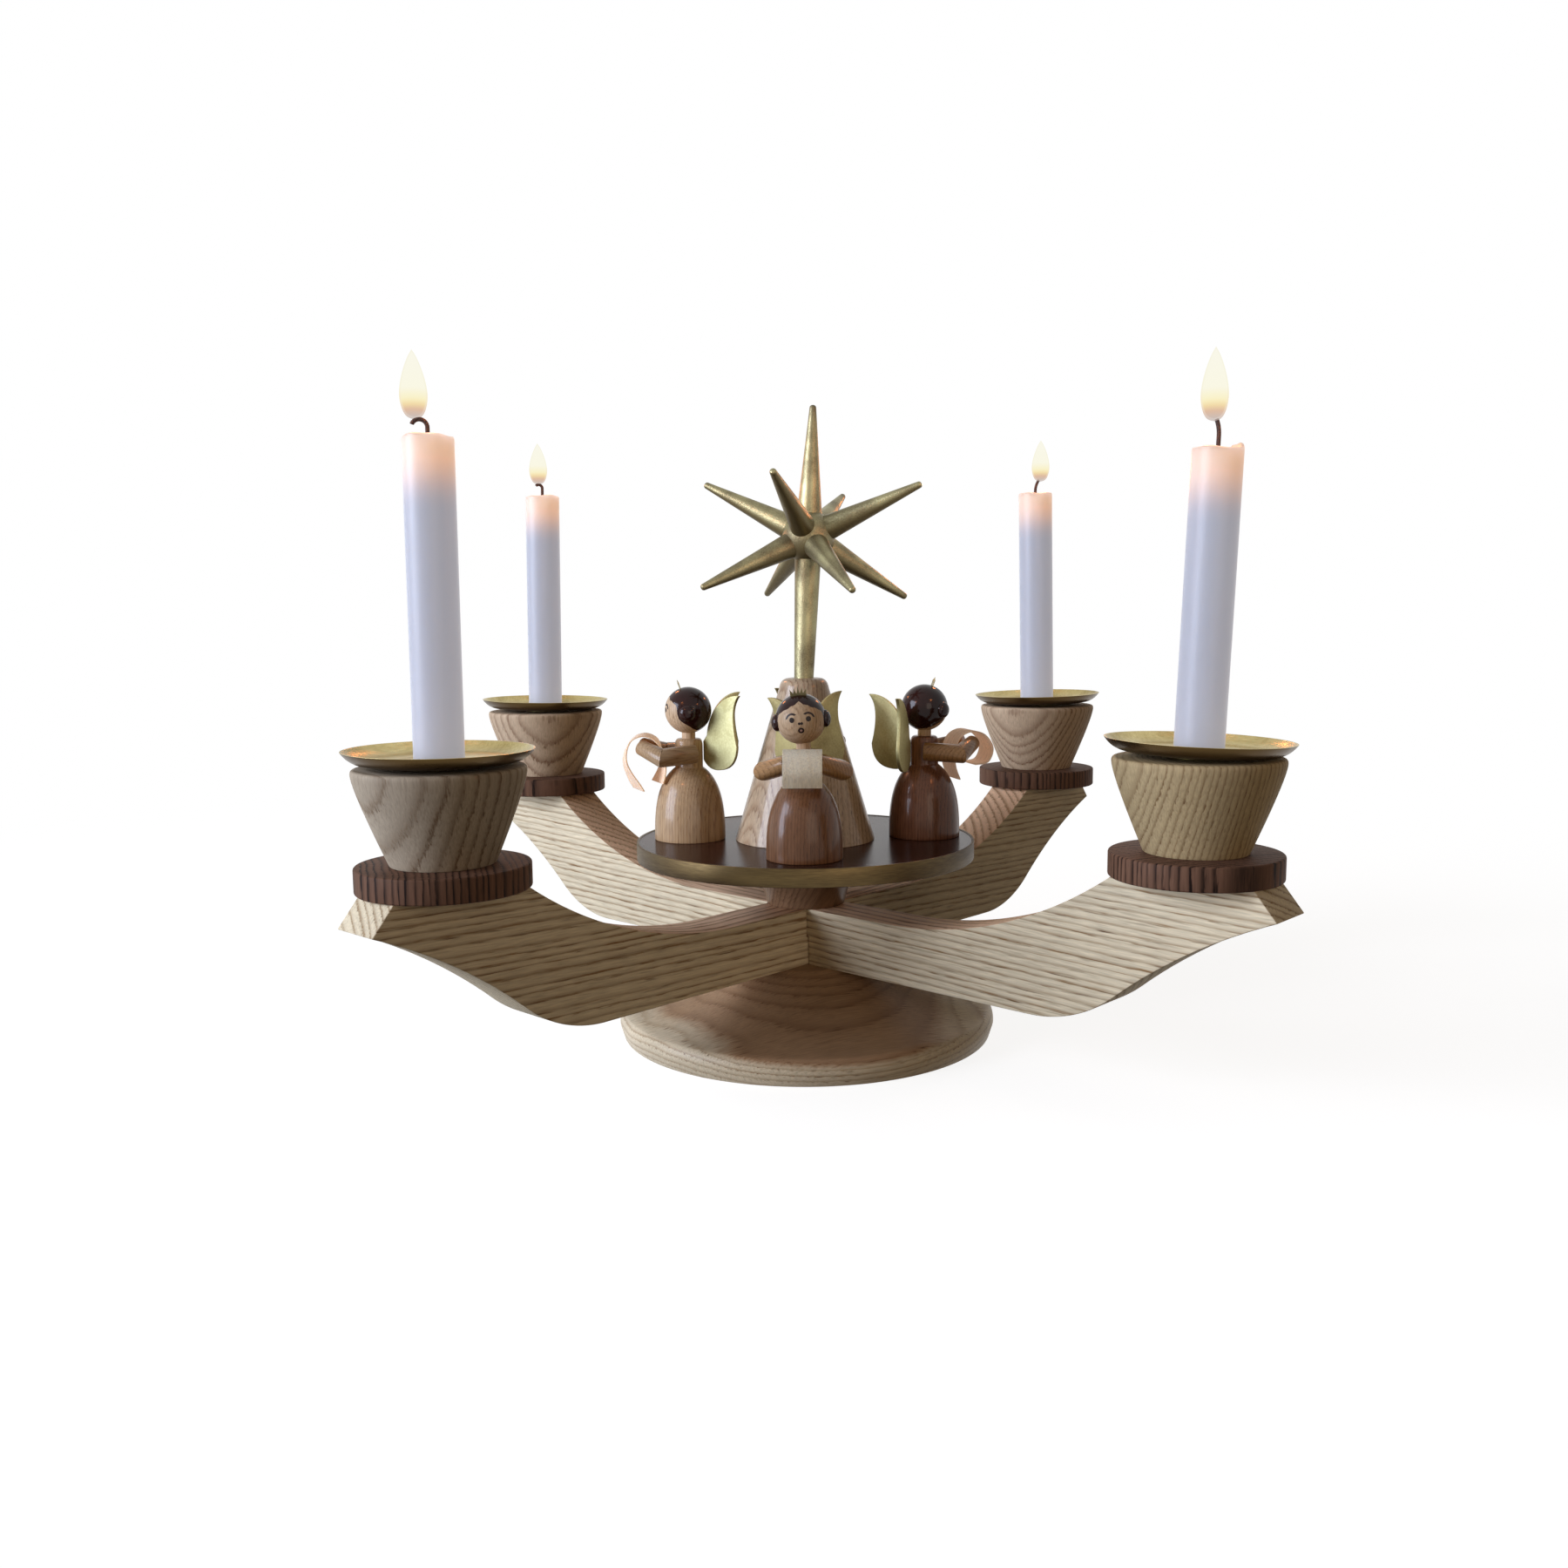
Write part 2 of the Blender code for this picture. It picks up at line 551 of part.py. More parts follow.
def figure(name, azimuth, distance, facing, turn, tilt, spread, lift, curl, finishes):
    """One singing angel on the plate."""
    angle = math.radians(azimuth)
    x, y = distance * math.cos(angle), distance * math.sin(angle)
    label = f"angel_{name}"
    place = empty(label, (x, y, PLATE_TOP), (0.0, 0.0, facing))
    nape = empty(label + "_nape", (x, y, PLATE_TOP + SHOULDER_HEIGHT), (0.0, tilt, facing + turn))
    back = empty(label + "_back", (x, y, PLATE_TOP + BACK_HEIGHT + lift), (0.0, tilt, facing))
    figure_body(label + "_body", finishes["beech"], place, nape)
    figure_head(label + "_head", finishes["head"], nape)
    figure_arms(label, finishes["beech"], place)
    figure_wings(label, spread, finishes["gold"], back)
    figure_scroll(label, curl, finishes["shaving"], place)


def station_disc(name, material, place):
    """The dark disc between arm and cup."""
    inner = CUP_PEG_RADIUS + SEAT
    bottom = ARM_TOP + SEAT
    flat = DISC_RADIUS - DISC_ROUNDING
    profile = [(inner, DISC_TOP), (flat, DISC_TOP), (DISC_RADIUS, DISC_TOP - DISC_ROUNDING)]
    profile += [(DISC_RADIUS, bottom + DISC_ROUNDING), (flat, bottom), (inner, bottom)]
    turned("cup_disc_" + name, profile, CUP_STEPS, material, place, ring=True)


def station_cup(name, lean, material, place):
    """The flared cup, with a peg through the disc into the arm and a bore that the pan's socket stands in."""
    tilt = math.radians(abs(lean))
    socket = SOCKET_RADIUS + PAN_WALL
    bore = socket + CUP_BORE_PLAY
    floor = CUP_TOP - SOCKET_DEPTH * math.cos(tilt) - socket * math.sin(tilt) - SEAT
    bottom = DISC_TOP + SEAT
    peg_end = ARM_TOP - CUP_PEG_DEPTH
    lip = (CUP_RADIUS - CUP_ROUNDING, CUP_TOP)
    shoulder = (CUP_RADIUS, CUP_TOP - CUP_ROUNDING)
    heel = (CUP_FOOT_RADIUS, bottom)
    flare = (CUP_RADIUS, bottom + (CUP_RADIUS - CUP_FOOT_RADIUS) / CUP_FLARE)
    profile = [(0.0, floor), (bore, floor), (bore, CUP_TOP), lip, shoulder]
    profile += curve(shoulder, flare, heel, 4)
    profile += [(CUP_PEG_RADIUS, bottom), (CUP_PEG_RADIUS, peg_end), (0.0, peg_end)]
    turned("candle_cup_" + name, profile, CUP_STEPS, material, place)


def station_pan(name, material, place):
    """The spun brass drip pan with the socket that hangs in the cup."""
    under = PAN_LIFT
    floor = under + PAN_WALL
    socket_end = -SOCKET_DEPTH
    rim = (PAN_RIM_RADIUS, PAN_RIM_HEIGHT)
    bend = (PAN_FLOOR_RADIUS + (PAN_RIM_RADIUS - PAN_FLOOR_RADIUS) * 0.6, under)
    outer = curve((PAN_FLOOR_RADIUS, under), bend, rim, 2)
    inner = curve((PAN_FLOOR_RADIUS, floor), (bend[0], floor), (rim[0] - PAN_WALL * 0.7, rim[1]), 2)
    profile = [(0.0, socket_end + PAN_WALL), (SOCKET_RADIUS, socket_end + PAN_WALL), (SOCKET_RADIUS, floor)]
    profile += [(PAN_FLOOR_RADIUS, floor)] + inner + list(reversed(outer)) + [(PAN_FLOOR_RADIUS, under)]
    profile += [(SOCKET_RADIUS + PAN_WALL, under), (SOCKET_RADIUS + PAN_WALL, socket_end), (0.0, socket_end)]
    turned("drip_pan_" + name, profile, CUP_STEPS, material, place)


def station_candle(name, top, material, place):
    """A plain candle with a shallow pool of wax and a hole for the wick."""
    bottom = PAN_WALL + SEAT - SOCKET_DEPTH
    pool = top - CANDLE_POOL_DEPTH
    bore = WICK_RADIUS + SEAT
    profile = [(0.0, top - WICK_DEPTH), (bore, top - WICK_DEPTH), (bore, pool)]
    profile += [(CANDLE_RADIUS * 0.7, pool), (CANDLE_RADIUS * 0.9, top)]
    profile += [(CANDLE_RADIUS, top - CANDLE_RADIUS * 0.1), (CANDLE_RADIUS, bottom), (0.0, bottom)]
    turned("candle_" + name, profile, FIGURE_STEPS, material, place)


def station_wick(name, top, material, place):
    """The wick, bent over as it burnt."""
    rise, radius, bend, direction = WICKS[name]
    low = top - WICK_DEPTH + SEAT
    turn_height = top - CANDLE_POOL_DEPTH + rise
    path = [(0.0, low)] + arc((radius, turn_height), radius, 180.0, 180.0 - bend, 5)
    yaw = math.radians(direction)
    points = [(x * math.cos(yaw), x * math.sin(yaw), z) for x, z in path]
    bar("wick_" + name, points, [WICK_RADIUS] * len(points), PEG_STEPS // 2, material, place)


def station(name, azimuth, lean, candle_top, finishes):
    """Everything on one arm's end: fixed disc and cup, and the loose pan with its candle."""
    angle = math.radians(azimuth)
    x = STATION_CIRCLE * math.cos(angle)
    y = STATION_CIRCLE * math.sin(angle)
    place = empty("station_" + name, (x, y, 0.0))
    seat = empty("seat_" + name, (x, y, CUP_TOP), (0.0, lean, 0.0))
    station_disc(name, finishes["walnut"], place)
    station_cup(name, lean, finishes["ash"], place)
    station_pan(name, finishes["brass"], seat)
    station_candle(name, candle_top, finishes["wax"], seat)
    station_wick(name, candle_top, finishes["wick"], seat)


def main():
    """Builds the holder from the foot up."""
    for obj in list(bpy.data.objects):
        bpy.data.objects.remove(obj)
    finishes = {
        "ash": finish("ash", "#C8A679", 0.5),
        "walnut": finish("walnut", "#4B3426", 0.45),
        "plate": finish("dark_plate", "#3B2418", 0.3),
        "brass": finish("brass", "#B48E42", 0.35, 1.0),
        "gold": finish("gold_paint", "#C79A45", 0.45, 0.6),
        "beech": finish("beech", "#D3A26C", 0.5),
        "head": finish("painted_head", "#5A2F1C", 0.35),
        "shaving": finish("shaving", "#E3C08E", 0.6),
        "wax": finish("wax", "#F1ECE6", 0.5),
        "wick": finish("wick", "#2B2522", 0.9),
    }
    foot(finishes["ash"])
    beam("beam_lower", 45.0, True, finishes["ash"])
    beam("beam_upper", 135.0, False, finishes["ash"])
    collar(finishes["beech"])
    plate(finishes["plate"], finishes["brass"])
    star = empty("star", (0.0, 0.0, CONE_TOP), (*STAR_LEAN, 0.0))
    cone(finishes["beech"], star)
    post = star_post(finishes["gold"], star)
    star_spikes(finishes["gold"], star, post)
    for row in FIGURES:
        figure(*row, finishes)
    for row in STATIONS:
        station(*row, finishes)


main()
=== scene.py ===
"""Looks of the advent candle holder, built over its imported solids.

The solids of the frame are faceted, so each visible piece is modelled again at the same size and place, with
fine curves and eased edges, and stands for its solid. The hair, faces, crowns and flames are added. Sizes are
in metres and +Z is up: the front is -Y and the origin is the middle of the foot's underside.
"""

import json
import logging
import math
from collections.abc import Callable, Sequence
from dataclasses import dataclass, field, replace
from enum import Enum

import bpy
from mathutils import Matrix, Vector

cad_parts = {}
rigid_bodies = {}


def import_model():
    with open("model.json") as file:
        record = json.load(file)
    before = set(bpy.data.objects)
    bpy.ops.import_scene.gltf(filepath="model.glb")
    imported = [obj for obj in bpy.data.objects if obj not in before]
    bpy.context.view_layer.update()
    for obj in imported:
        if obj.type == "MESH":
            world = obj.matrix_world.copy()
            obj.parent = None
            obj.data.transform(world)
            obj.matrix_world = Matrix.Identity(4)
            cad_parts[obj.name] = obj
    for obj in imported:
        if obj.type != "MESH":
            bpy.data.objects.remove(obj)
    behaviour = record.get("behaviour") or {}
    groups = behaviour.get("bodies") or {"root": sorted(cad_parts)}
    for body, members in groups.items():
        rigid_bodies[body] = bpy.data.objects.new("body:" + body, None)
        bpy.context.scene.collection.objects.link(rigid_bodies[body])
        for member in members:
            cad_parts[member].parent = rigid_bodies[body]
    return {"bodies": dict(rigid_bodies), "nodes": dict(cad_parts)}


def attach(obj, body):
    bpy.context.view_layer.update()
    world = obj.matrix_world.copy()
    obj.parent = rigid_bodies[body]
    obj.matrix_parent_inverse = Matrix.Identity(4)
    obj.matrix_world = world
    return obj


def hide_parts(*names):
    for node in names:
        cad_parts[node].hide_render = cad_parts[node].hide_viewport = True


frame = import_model()
log = logging.getLogger("candle_holder")

Pair = tuple[float, float]
Triple = tuple[float, float, float]
Socket = bpy.types.NodeSocket
Tree = bpy.types.NodeTree
Solid = bpy.types.Object

MM = 0.001
# Points that are closer than this are one point.
WELD = 0.001 * MM
STAND = "stand"
UP: Triple = (0.0, 0.0, 1.0)


def linear(code: str) -> tuple[float, float, float, float]:
    """Turns an sRGB colour into linear light.

    Args:
        code: The colour as #RRGGBB.

    Returns:
        Linear red, green and blue, with full alpha.
    """
    parts = [int(code[i : i + 2], 16) / 255.0 for i in (1, 3, 5)]
    red, green, blue = [c / 12.92 if c <= 0.04045 else ((c + 0.055) / 1.055) ** 2.4 for c in parts]
    return red, green, blue, 1.0


def node(
    tree: Tree, kind: str, inputs: dict | None = None, out: str = "", stops: Sequence = (), **settings
) -> Socket | None:
    """Adds one shader node with its settings and links.

    Args:
        tree: The node tree.
        kind: The node's type, without the leading ShaderNode.
        inputs: Socket name or number to a value, or to the output that feeds it.
        out: Name of the wanted output, where it isn't the first one in use.
        stops: Positions and colours of a colour ramp.
        settings: The node's own properties.

    Returns:
        The node's output, or None where it has none.
    """
    made = tree.nodes.new("ShaderNode" + kind)
    for name, value in settings.items():
        setattr(made, name, value)
    for name, value in (inputs or {}).items():
        if isinstance(value, Socket):
            tree.links.new(value, made.inputs[name])
        else:
            made.inputs[name].default_value = value
    for i, (position, code) in enumerate(stops):
        elements = made.color_ramp.elements
        stop = elements[i] if i < 2 else elements.new(position)
        stop.position = position
        stop.color = linear(code)
    return made.outputs[out] if out else next((output for output in made.outputs if output.enabled), None)


def blank(name: str) -> bpy.types.Material:
    """Returns a new material with an empty node tree."""
    material = bpy.data.materials.new(name)
    material.use_nodes = True
    material.node_tree.nodes.clear()
    return material


def surface(tree: Tree, shader: Socket) -> None:
    """Makes the shader the material's surface."""
    node(tree, "OutputMaterial", {"Surface": shader})


@dataclass(frozen=True)
class Grain:
    """How a piece lies in the plank that it was cut from.

    Args:
        origin: A point of the piece, in metres.
        along: Direction of the fibres.
        across: Direction across the growth rings.
        pith: Distance from the origin to the heart of the tree, in millimetres.
    """

    origin: Triple
    along: Triple
    across: Triple
    pith: float = 90.0

    def local(self, tree: Tree) -> Socket:
        """Adds the nodes that give a point's place in the plank.

        Returns:
            A vector in millimetres, with X across the rings and Z along the fibres.
        """
        along = Vector(self.along).normalized()
        side = along.cross(Vector(self.across)).normalized()
        turn = Matrix((side.cross(along), side, along)).transposed().to_euler()
        place = node(tree, "TexCoord", out="Object")
        inputs = {"Vector": place, "Location": self.origin, "Rotation": turn, "Scale": (MM, MM, MM)}
        return node(tree, "Mapping", inputs, vector_type="TEXTURE")


# Noise in wood: its share of length along the fibres, how often it changes per millimetre, and its detail.
FIBRES: Triple = (0.07, 2.2, 3.0)
SWAY: Triple = (0.22, 0.035, 2.0)
# How the early wood comes and goes over one year's growth.
YEAR = (
    (0.0, "#707070"),
    (1.0, "#707070"),
    (0.07, "#E6E6E6"),
    (0.16, "#FFFFFF"),
    (0.3, "#B8B8B8"),
    (0.48, "#5C5C5C"),
    (0.75, "#202020"),
)
# Half the width of the change from sapwood to heartwood, in millimetres.
HEART_EDGE = 0.7
# How steeply a face looks up where the redder tint of upper faces, partly painted warm light, starts, and
# where it is full.
TOP_LIGHT_TINT_EDGE: Pair = (0.68, 0.76)


@dataclass(frozen=True)
class Wood:
    """A wood with growth rings and pores, sawn or turned and then oiled or lacquered.

    Args:
        name: The wood and its treatment.
        pale: Colour between the rings.
        line: Colour of the porous early wood that draws the rings.
        pore: Colour of the open pores.
        ring: Distance between rings, in millimetres.
        wander: How far the rings stray, in millimetres.
        pore_size: A pore's width and length, in millimetres.
        pore_share: How much of the surface shows pores, from 0 to 1.
        depth: How strongly the rings show, from 0 to 1.
        roughness: Roughness of the surface.
        coat: Weight of the lacquer.
        specular: Specular level.
        translucence: How much light goes through a thin piece.
        relief: How strongly pores and lines are felt.
        heart: Colour between the rings and colour of the rings in the heartwood, and how far from the heart
            of the tree it starts, in millimetres.
        upper: Colour between the rings and colour of the rings on faces that look up, partly painted warm
            light on the tops.
        glow: How much candle light a thin piece lets through.
    """

    name: str
    pale: str
    line: str
    pore: str
    ring: float
    wander: float
    pore_size: Pair
    pore_share: float
    depth: float
    roughness: float
    coat: float = 0.0
    specular: float = 0.4
    translucence: float = 0.0
    relief: float = 0.25
    heart: tuple[str, str, float] | None = None
    upper: tuple[str, str] | None = None
    glow: float = 0.0

    def colour(self, tree: Tree, local: Socket, pith: float) -> tuple[Socket, Socket]:
        """Adds the growth rings, pores and fibres.

        Args:
            tree: The node tree.
            local: A point's place in the plank, in millimetres.
            pith: Distance to the heart of the tree, in millimetres.

        Returns:
            The colour, and the height of the fibres and open pores.
        """
        width, length = self.pore_size
        noises = []
        for stretch, scale, detail in ((width / length, 0.6 / width, 2.5), FIBRES, SWAY):
            slim = node(tree, "VectorMath", {0: local, 1: (1.0, 1.0, stretch)}, operation="MULTIPLY")
            noises.append(node(tree, "TexNoise", {"Vector": slim, "Scale": scale, "Detail": detail}))
        open_grain, fibres, sway = noises
        inputs = {0: local, 1: (1.0, 1.0, 0.0), 2: (pith, 0.0, 0.0)}
        flat = node(tree, "VectorMath", inputs, operation="MULTIPLY_ADD")
        reach = node(tree, "VectorMath", {0: flat}, operation="LENGTH")
        stray = node(tree, "Math", {0: sway, 1: 2.0 * self.wander, 2: reach}, operation="MULTIPLY_ADD")
        stray = node(tree, "Math", {0: open_grain, 1: 0.55 * self.ring, 2: stray}, operation="MULTIPLY_ADD")
        inputs = {"W": stray, "Scale": 0.35 / self.ring, "Detail": 1.0}
        seasons = node(tree, "TexNoise", inputs, noise_dimensions="1D")
        count = node(tree, "Math", {0: stray, 1: self.ring}, operation="DIVIDE")
        count = node(tree, "Math", {0: seasons, 1: 1.0, 2: count}, operation="MULTIPLY_ADD")
        share = node(tree, "Math", {0: count}, operation="FRACT")
        year = node(tree, "Math", {0: count}, operation="FLOOR")
        tone = node(tree, "TexWhiteNoise", {"W": year}, noise_dimensions="1D")
        early = node(tree, "ValToRGB", {"Fac": share}, stops=YEAR)
        strength = node(tree, "MapRange", {"Value": tone, "To Min": 0.6 * self.depth, "To Max": self.depth})
        inputs = {"Value": fibres, "From Min": 0.36, "From Max": 0.62, "To Min": 0.5, "To Max": 1.1}
        frayed = node(tree, "MapRange", inputs)
        strength = node(tree, "Math", {0: strength, 1: frayed}, operation="MULTIPLY")
        ringed = node(tree, "Math", {0: early, 1: strength}, operation="MULTIPLY")
        inputs = {"Value": open_grain, "From Min": 0.66 - 0.25 * self.pore_share, "From Max": 0.78}
        dash = node(tree, "MapRange", inputs)
        where = node(tree, "MapRange", {"Value": early, "To Min": 0.3, "To Max": 1.0})
        pores = node(tree, "Math", {0: dash, 1: where}, operation="MULTIPLY")
        tones = self.tones(tree, stray)
        base = node(tree, "Mix", {"Factor": ringed, "A": tones[0], "B": tones[1]}, data_type="RGBA")
        pored = node(tree, "Mix", {"Factor": pores, "A": base, "B": linear(self.pore)}, data_type="RGBA")
        lights = []
        for noise, least, most in ((fibres, 0.84, 1.14), (sway, 0.9, 1.08)):
            inputs = {"Value": noise, "From Min": 0.3, "From Max": 0.7, "To Min": least, "To Max": most}
            lights.append(node(tree, "MapRange", inputs))
        light = node(tree, "Math", {0: lights[0], 1: lights[1]}, operation="MULTIPLY")
        shade = node(tree, "VectorMath", {0: pored, "Scale": light}, operation="SCALE")
        height = node(tree, "Math", {0: pores, 1: -1.0, 2: fibres}, operation="MULTIPLY_ADD")
        return shade, height

    def tones(self, tree: Tree, reach: Socket) -> list:
        """Adds the change to heartwood, and the redder tint of upper faces, which is partly painted warm
        light.

        Args:
            tree: The node tree.
            reach: Distance from the heart of the tree, in millimetres.

        Returns:
            Colour between the rings and colour of the rings.
        """
        tones = [linear(self.pale), linear(self.line)]
        layers = []
        if self.heart:
            edge = self.heart[2]
            layers.append((reach, (edge - HEART_EDGE, edge + HEART_EDGE), self.heart))
        # Faces that look up are tinted redder: partly the face grain, partly painted warm light on the tops.
        if self.upper:
            normal = node(tree, "NewGeometry", out="Normal")
            layers.append((node(tree, "SeparateXYZ", {0: normal}, out="Z"), TOP_LIGHT_TINT_EDGE, self.upper))
        for value, (low, high), codes in layers:
            there = node(tree, "MapRange", {"Value": value, "From Min": low, "From Max": high})
            for i, outer in enumerate(tones):
                inputs = {"Factor": there, "A": outer, "B": linear(codes[i])}
                tones[i] = node(tree, "Mix", inputs, data_type="RGBA")
        return tones

    def material(self, label: str, grain: Grain) -> bpy.types.Material:
        """Builds the wood for one piece.

        Args:
            label: The piece's name.
            grain: How the piece lies in the plank.

        Returns:
            The material.
        """
        material = blank(f"{self.name}_{label}")
        tree = material.node_tree
        colour, height = self.colour(tree, grain.local(tree), grain.pith)
        relief = node(tree, "Bump", {"Height": height, "Strength": self.relief, "Distance": 0.15 * MM})
        shader = node(
            tree,
            "BsdfPrincipled",
            {
                "Base Color": colour,
                "Roughness": self.roughness,
                "Specular IOR Level": self.specular,
                "Coat Weight": self.coat,
                "Coat Roughness": 0.12,
                "Subsurface Weight": self.translucence,
                "Subsurface Radius": (1.0, 0.8, 0.6),
                "Subsurface Scale": 1.2 * MM,
                "Emission Color": colour,
                "Emission Strength": self.glow,
                "Normal": relief,
            },
        )
        surface(tree, shader)
        return material


# Ring-porous and oiled: straw-coloured, with brown lines that are frayed along the fibres. Its pores are
# drawn a little wider than the real 0.3 mm, so that they show.
ASH = Wood(
    "oiled_ash", pale="#DDCDAC", line="#82613B", pore="#5E4026", ring=2.1, wander=1.3,
    pore_size=(0.40, 6.0), pore_share=0.5, depth=1.0, roughness=0.6, specular=0.08,
)
# The same wood cut flat for the foot: the top is brown above a set height, partly heartwood and partly
# painted shade under the beams, and the rim shows pale layers below it.
FOOT_ASH = replace(
    ASH, pale="#CDBC9D", line="#8A6A46", ring=2.2, wander=1.6, depth=0.9, roughness=0.4, specular=0.16,
    heart=("#A08060", "#7E5E42", 323.3),
)
# Bent beams: their upper faces are painted redder than the sides, partly for the flat-sawn face of the planks
# and partly as painted warm light on the tops.
BEAM_ASH = replace(ASH, upper=("#F0C8A2", "#8F5F3C"))
# Cups from other planks: one greyish, one honey-coloured and two rosy, one of these with finer lines.
GREY_ASH = replace(
    ASH, name="grey_ash", pale="#A4957F", line="#665039", pore="#5A4632",
    ring=3.4, wander=2.2, pore_share=0.35,
)
HONEY_ASH = replace(
    ASH, name="honey_ash", pale="#AC966F", line="#6A5033", ring=1.7, depth=0.9, pore_share=0.4
)
ROSY_ASH = replace(
    ASH, name="rosy_ash", pale="#C2A98B", line="#785840", pore="#6B4E38",
    ring=2.7, wander=2.0, pore_share=0.35,
)
FINE_ASH = replace(ROSY_ASH, name="fine_rosy_ash", ring=1.75, wander=1.6)
# Dark and open-pored, cut so that uneven bands stand upright on the rough rim.
WALNUT = Wood(
    "dark_walnut", pale="#6E503E", line="#1A0F0B", pore="#0E0706", ring=2.0, wander=1.8,
    pore_size=(0.6, 5.0), pore_share=1.0, depth=1.3, roughness=0.6, specular=0.06, relief=0.15,
)
# Fine-grained and lacquered: rings hardly show, and short rays fleck it. Each figure has its own tones.
BEECH = Wood(
    "lacquered_beech", pale="#BC9871", line="#936A46", pore="#6B472C", ring=1.1, wander=1.0,
    pore_size=(0.32, 3.0), pore_share=0.6, depth=0.7, roughness=0.3, coat=0.22, specular=0.12,
)
PALE_BEECH = replace(BEECH, name="pale_beech", pale="#AD8F6C", line="#87643F")
TAN_BEECH = replace(BEECH, name="tan_beech", pale="#B48858", line="#835A36")
FACE_BEECH = replace(BEECH, name="face_beech", pale="#C4A785", line="#9C7856")
BROWN_BEECH = replace(BEECH, name="brown_beech", pale="#80593D", line="#573821", pore="#442A1A")
RED_BEECH = replace(BEECH, name="red_beech", pale="#80553C", line="#573421", pore="#41251A")
# A pale sawn cone under the same lacquer, with clearer rings and dark open pores.
CONE_WOOD = Wood(
    "lacquered_alder", pale="#B59C7E", line="#825F42", pore="#4A301C", ring=1.6, wander=1.4,
    pore_size=(0.4, 5.0), pore_share=0.7, depth=0.85, roughness=0.34, coat=0.3, specular=0.12,
)
# A darker copy of the cone's wood for the collar, which stands under the plate: painted shade.
SHADED_COLLAR_WOOD = replace(CONE_WOOD, name="alder_painted_shade", pale="#7E6046", line="#523A27", coat=0.08)
# Stained almost black-brown and polished, so the grain is only a shade.
STAINED = Wood(
    "stained_plate", pale="#40231A", line="#29140E", pore="#190B08", ring=2.2, wander=2.0,
    pore_size=(0.35, 6.0), pore_share=0.4, depth=0.7, roughness=0.2, specular=0.04,
)
# A plane shaving: thin, dry and pale, with fibres along it, and light shines through.
SHAVING = Wood(
    "wood_shaving", pale="#F2E4C9", line="#DECAA6", pore="#C2A47C", ring=2.6, wander=1.2,
    pore_size=(0.35, 7.0), pore_share=0.3, depth=0.5, roughness=0.65, specular=0.1, translucence=0.3,
)
ROSY_SHAVING = replace(
    SHAVING, name="rosy_shaving", pale="#E6C4A6", line="#CFA885", translucence=0.6, glow=0.2
)


@dataclass(frozen=True)
class Metal:
    """A metal or metal paint with a fine grain, and painted shade on faces that look down.

    Args:
        name: The metal and how it was worked.
        bright: Its clean colour.
        dull: Its aged colour.
        grit: Size of the surface's grain, in millimetres.
        relief: How strongly the grain stands out.
        roughness: Roughness of the clean metal.
        metallic: Share of metal.
        under: Colour painted on faces that look down, a painted shade under things.
    """

    name: str
    bright: str
    dull: str
    grit: float
    relief: float
    roughness: float
    metallic: float
    under: str

    def material(
        self, label: str, stretch: Triple = (1.0, 1.0, 1.0), turn: Triple = (0.0, 0.0, 0.0)
    ) -> bpy.types.Material:
        """Builds the metal for one piece.

        Args:
            label: The piece's name.
            stretch: How many times longer the grain is along X, Y and Z.
            turn: Turn of the grain in radians.

        Returns:
            The material.
        """
        material = blank(f"{self.name}_{label}")
        tree = material.node_tree
        place = node(tree, "TexCoord", out="Object")
        size = [MM * share for share in stretch]
        local = node(
            tree, "Mapping", {"Vector": place, "Rotation": turn, "Scale": size}, vector_type="TEXTURE"
        )
        grain = node(tree, "TexNoise", {"Vector": local, "Scale": 1.0 / self.grit, "Detail": 3.0})
        patch = node(tree, "TexNoise", {"Vector": local, "Scale": 0.09, "Detail": 3.0})
        mixed = node(tree, "Math", {0: grain, 1: 0.45, 2: patch}, operation="MULTIPLY_ADD")
        age = node(tree, "MapRange", {"Value": mixed, "From Min": 0.55, "From Max": 0.95})
        colour = node(
            tree, "Mix", {"Factor": age, "A": linear(self.bright), "B": linear(self.dull)}, data_type="RGBA"
        )
        # Faces that look down are darkened towards the under colour: painted shade.
        normal = node(tree, "NewGeometry", out="Normal")
        rise = node(tree, "SeparateXYZ", {0: normal}, out="Z")
        below = node(tree, "MapRange", {"Value": rise, "From Min": 0.0, "From Max": -0.5})
        colour = node(
            tree, "Mix", {"Factor": below, "A": colour, "B": linear(self.under)}, data_type="RGBA"
        )
        rough = node(
            tree, "MapRange", {"Value": age, "To Min": self.roughness, "To Max": self.roughness + 0.14}
        )
        relief = node(tree, "Bump", {"Height": grain, "Strength": self.relief, "Distance": 0.12 * MM})
        shader = node(
            tree,
            "BsdfPrincipled",
            {"Base Color": colour, "Metallic": self.metallic, "Roughness": rough, "Normal": relief},
        )
        surface(tree, shader)
        return material


# Bronze powder in lacquer, brushed on turned wood: satin, olive gold and gritty.
GOLD_PAINT = Metal(
    "gold_paint", bright="#9A936E", dull="#605740", under="#63573A",
    grit=0.45, relief=0.8, roughness=0.38, metallic=0.85,
)
# The same in a paler mix on flat thin wood, almost straw-coloured.
PALE_GOLD = Metal(
    "pale_gold_paint", bright="#D6D29C", dull="#B2AA74", under="#84764A",
    grit=0.7, relief=0.3, roughness=0.5, metallic=0.4,
)
# A darker copy of the pale gold for the wings that face away from the light: painted shade.
SHADED_PALE_GOLD = replace(PALE_GOLD, name="pale_gold_paint_painted_shade", bright="#A99C66", dull="#84774A")
# Spun sheet brass, olive where it has aged, with painted brown shade on faces that look down.
BRASS = Metal(
    "spun_brass", bright="#C4B582", dull="#92824F", under="#513F24",
    grit=0.6, relief=0.12, roughness=0.26, metallic=1.0,
)
# Brass strip rolled thin, drawn round the plate and tarnished in streaks.
BAND_BRASS = Metal(
    "aged_brass_strip", bright="#5E4E31", dull="#382B1A", under="#33281B",
    grit=0.5, relief=0.2, roughness=0.4, metallic=0.9,
)


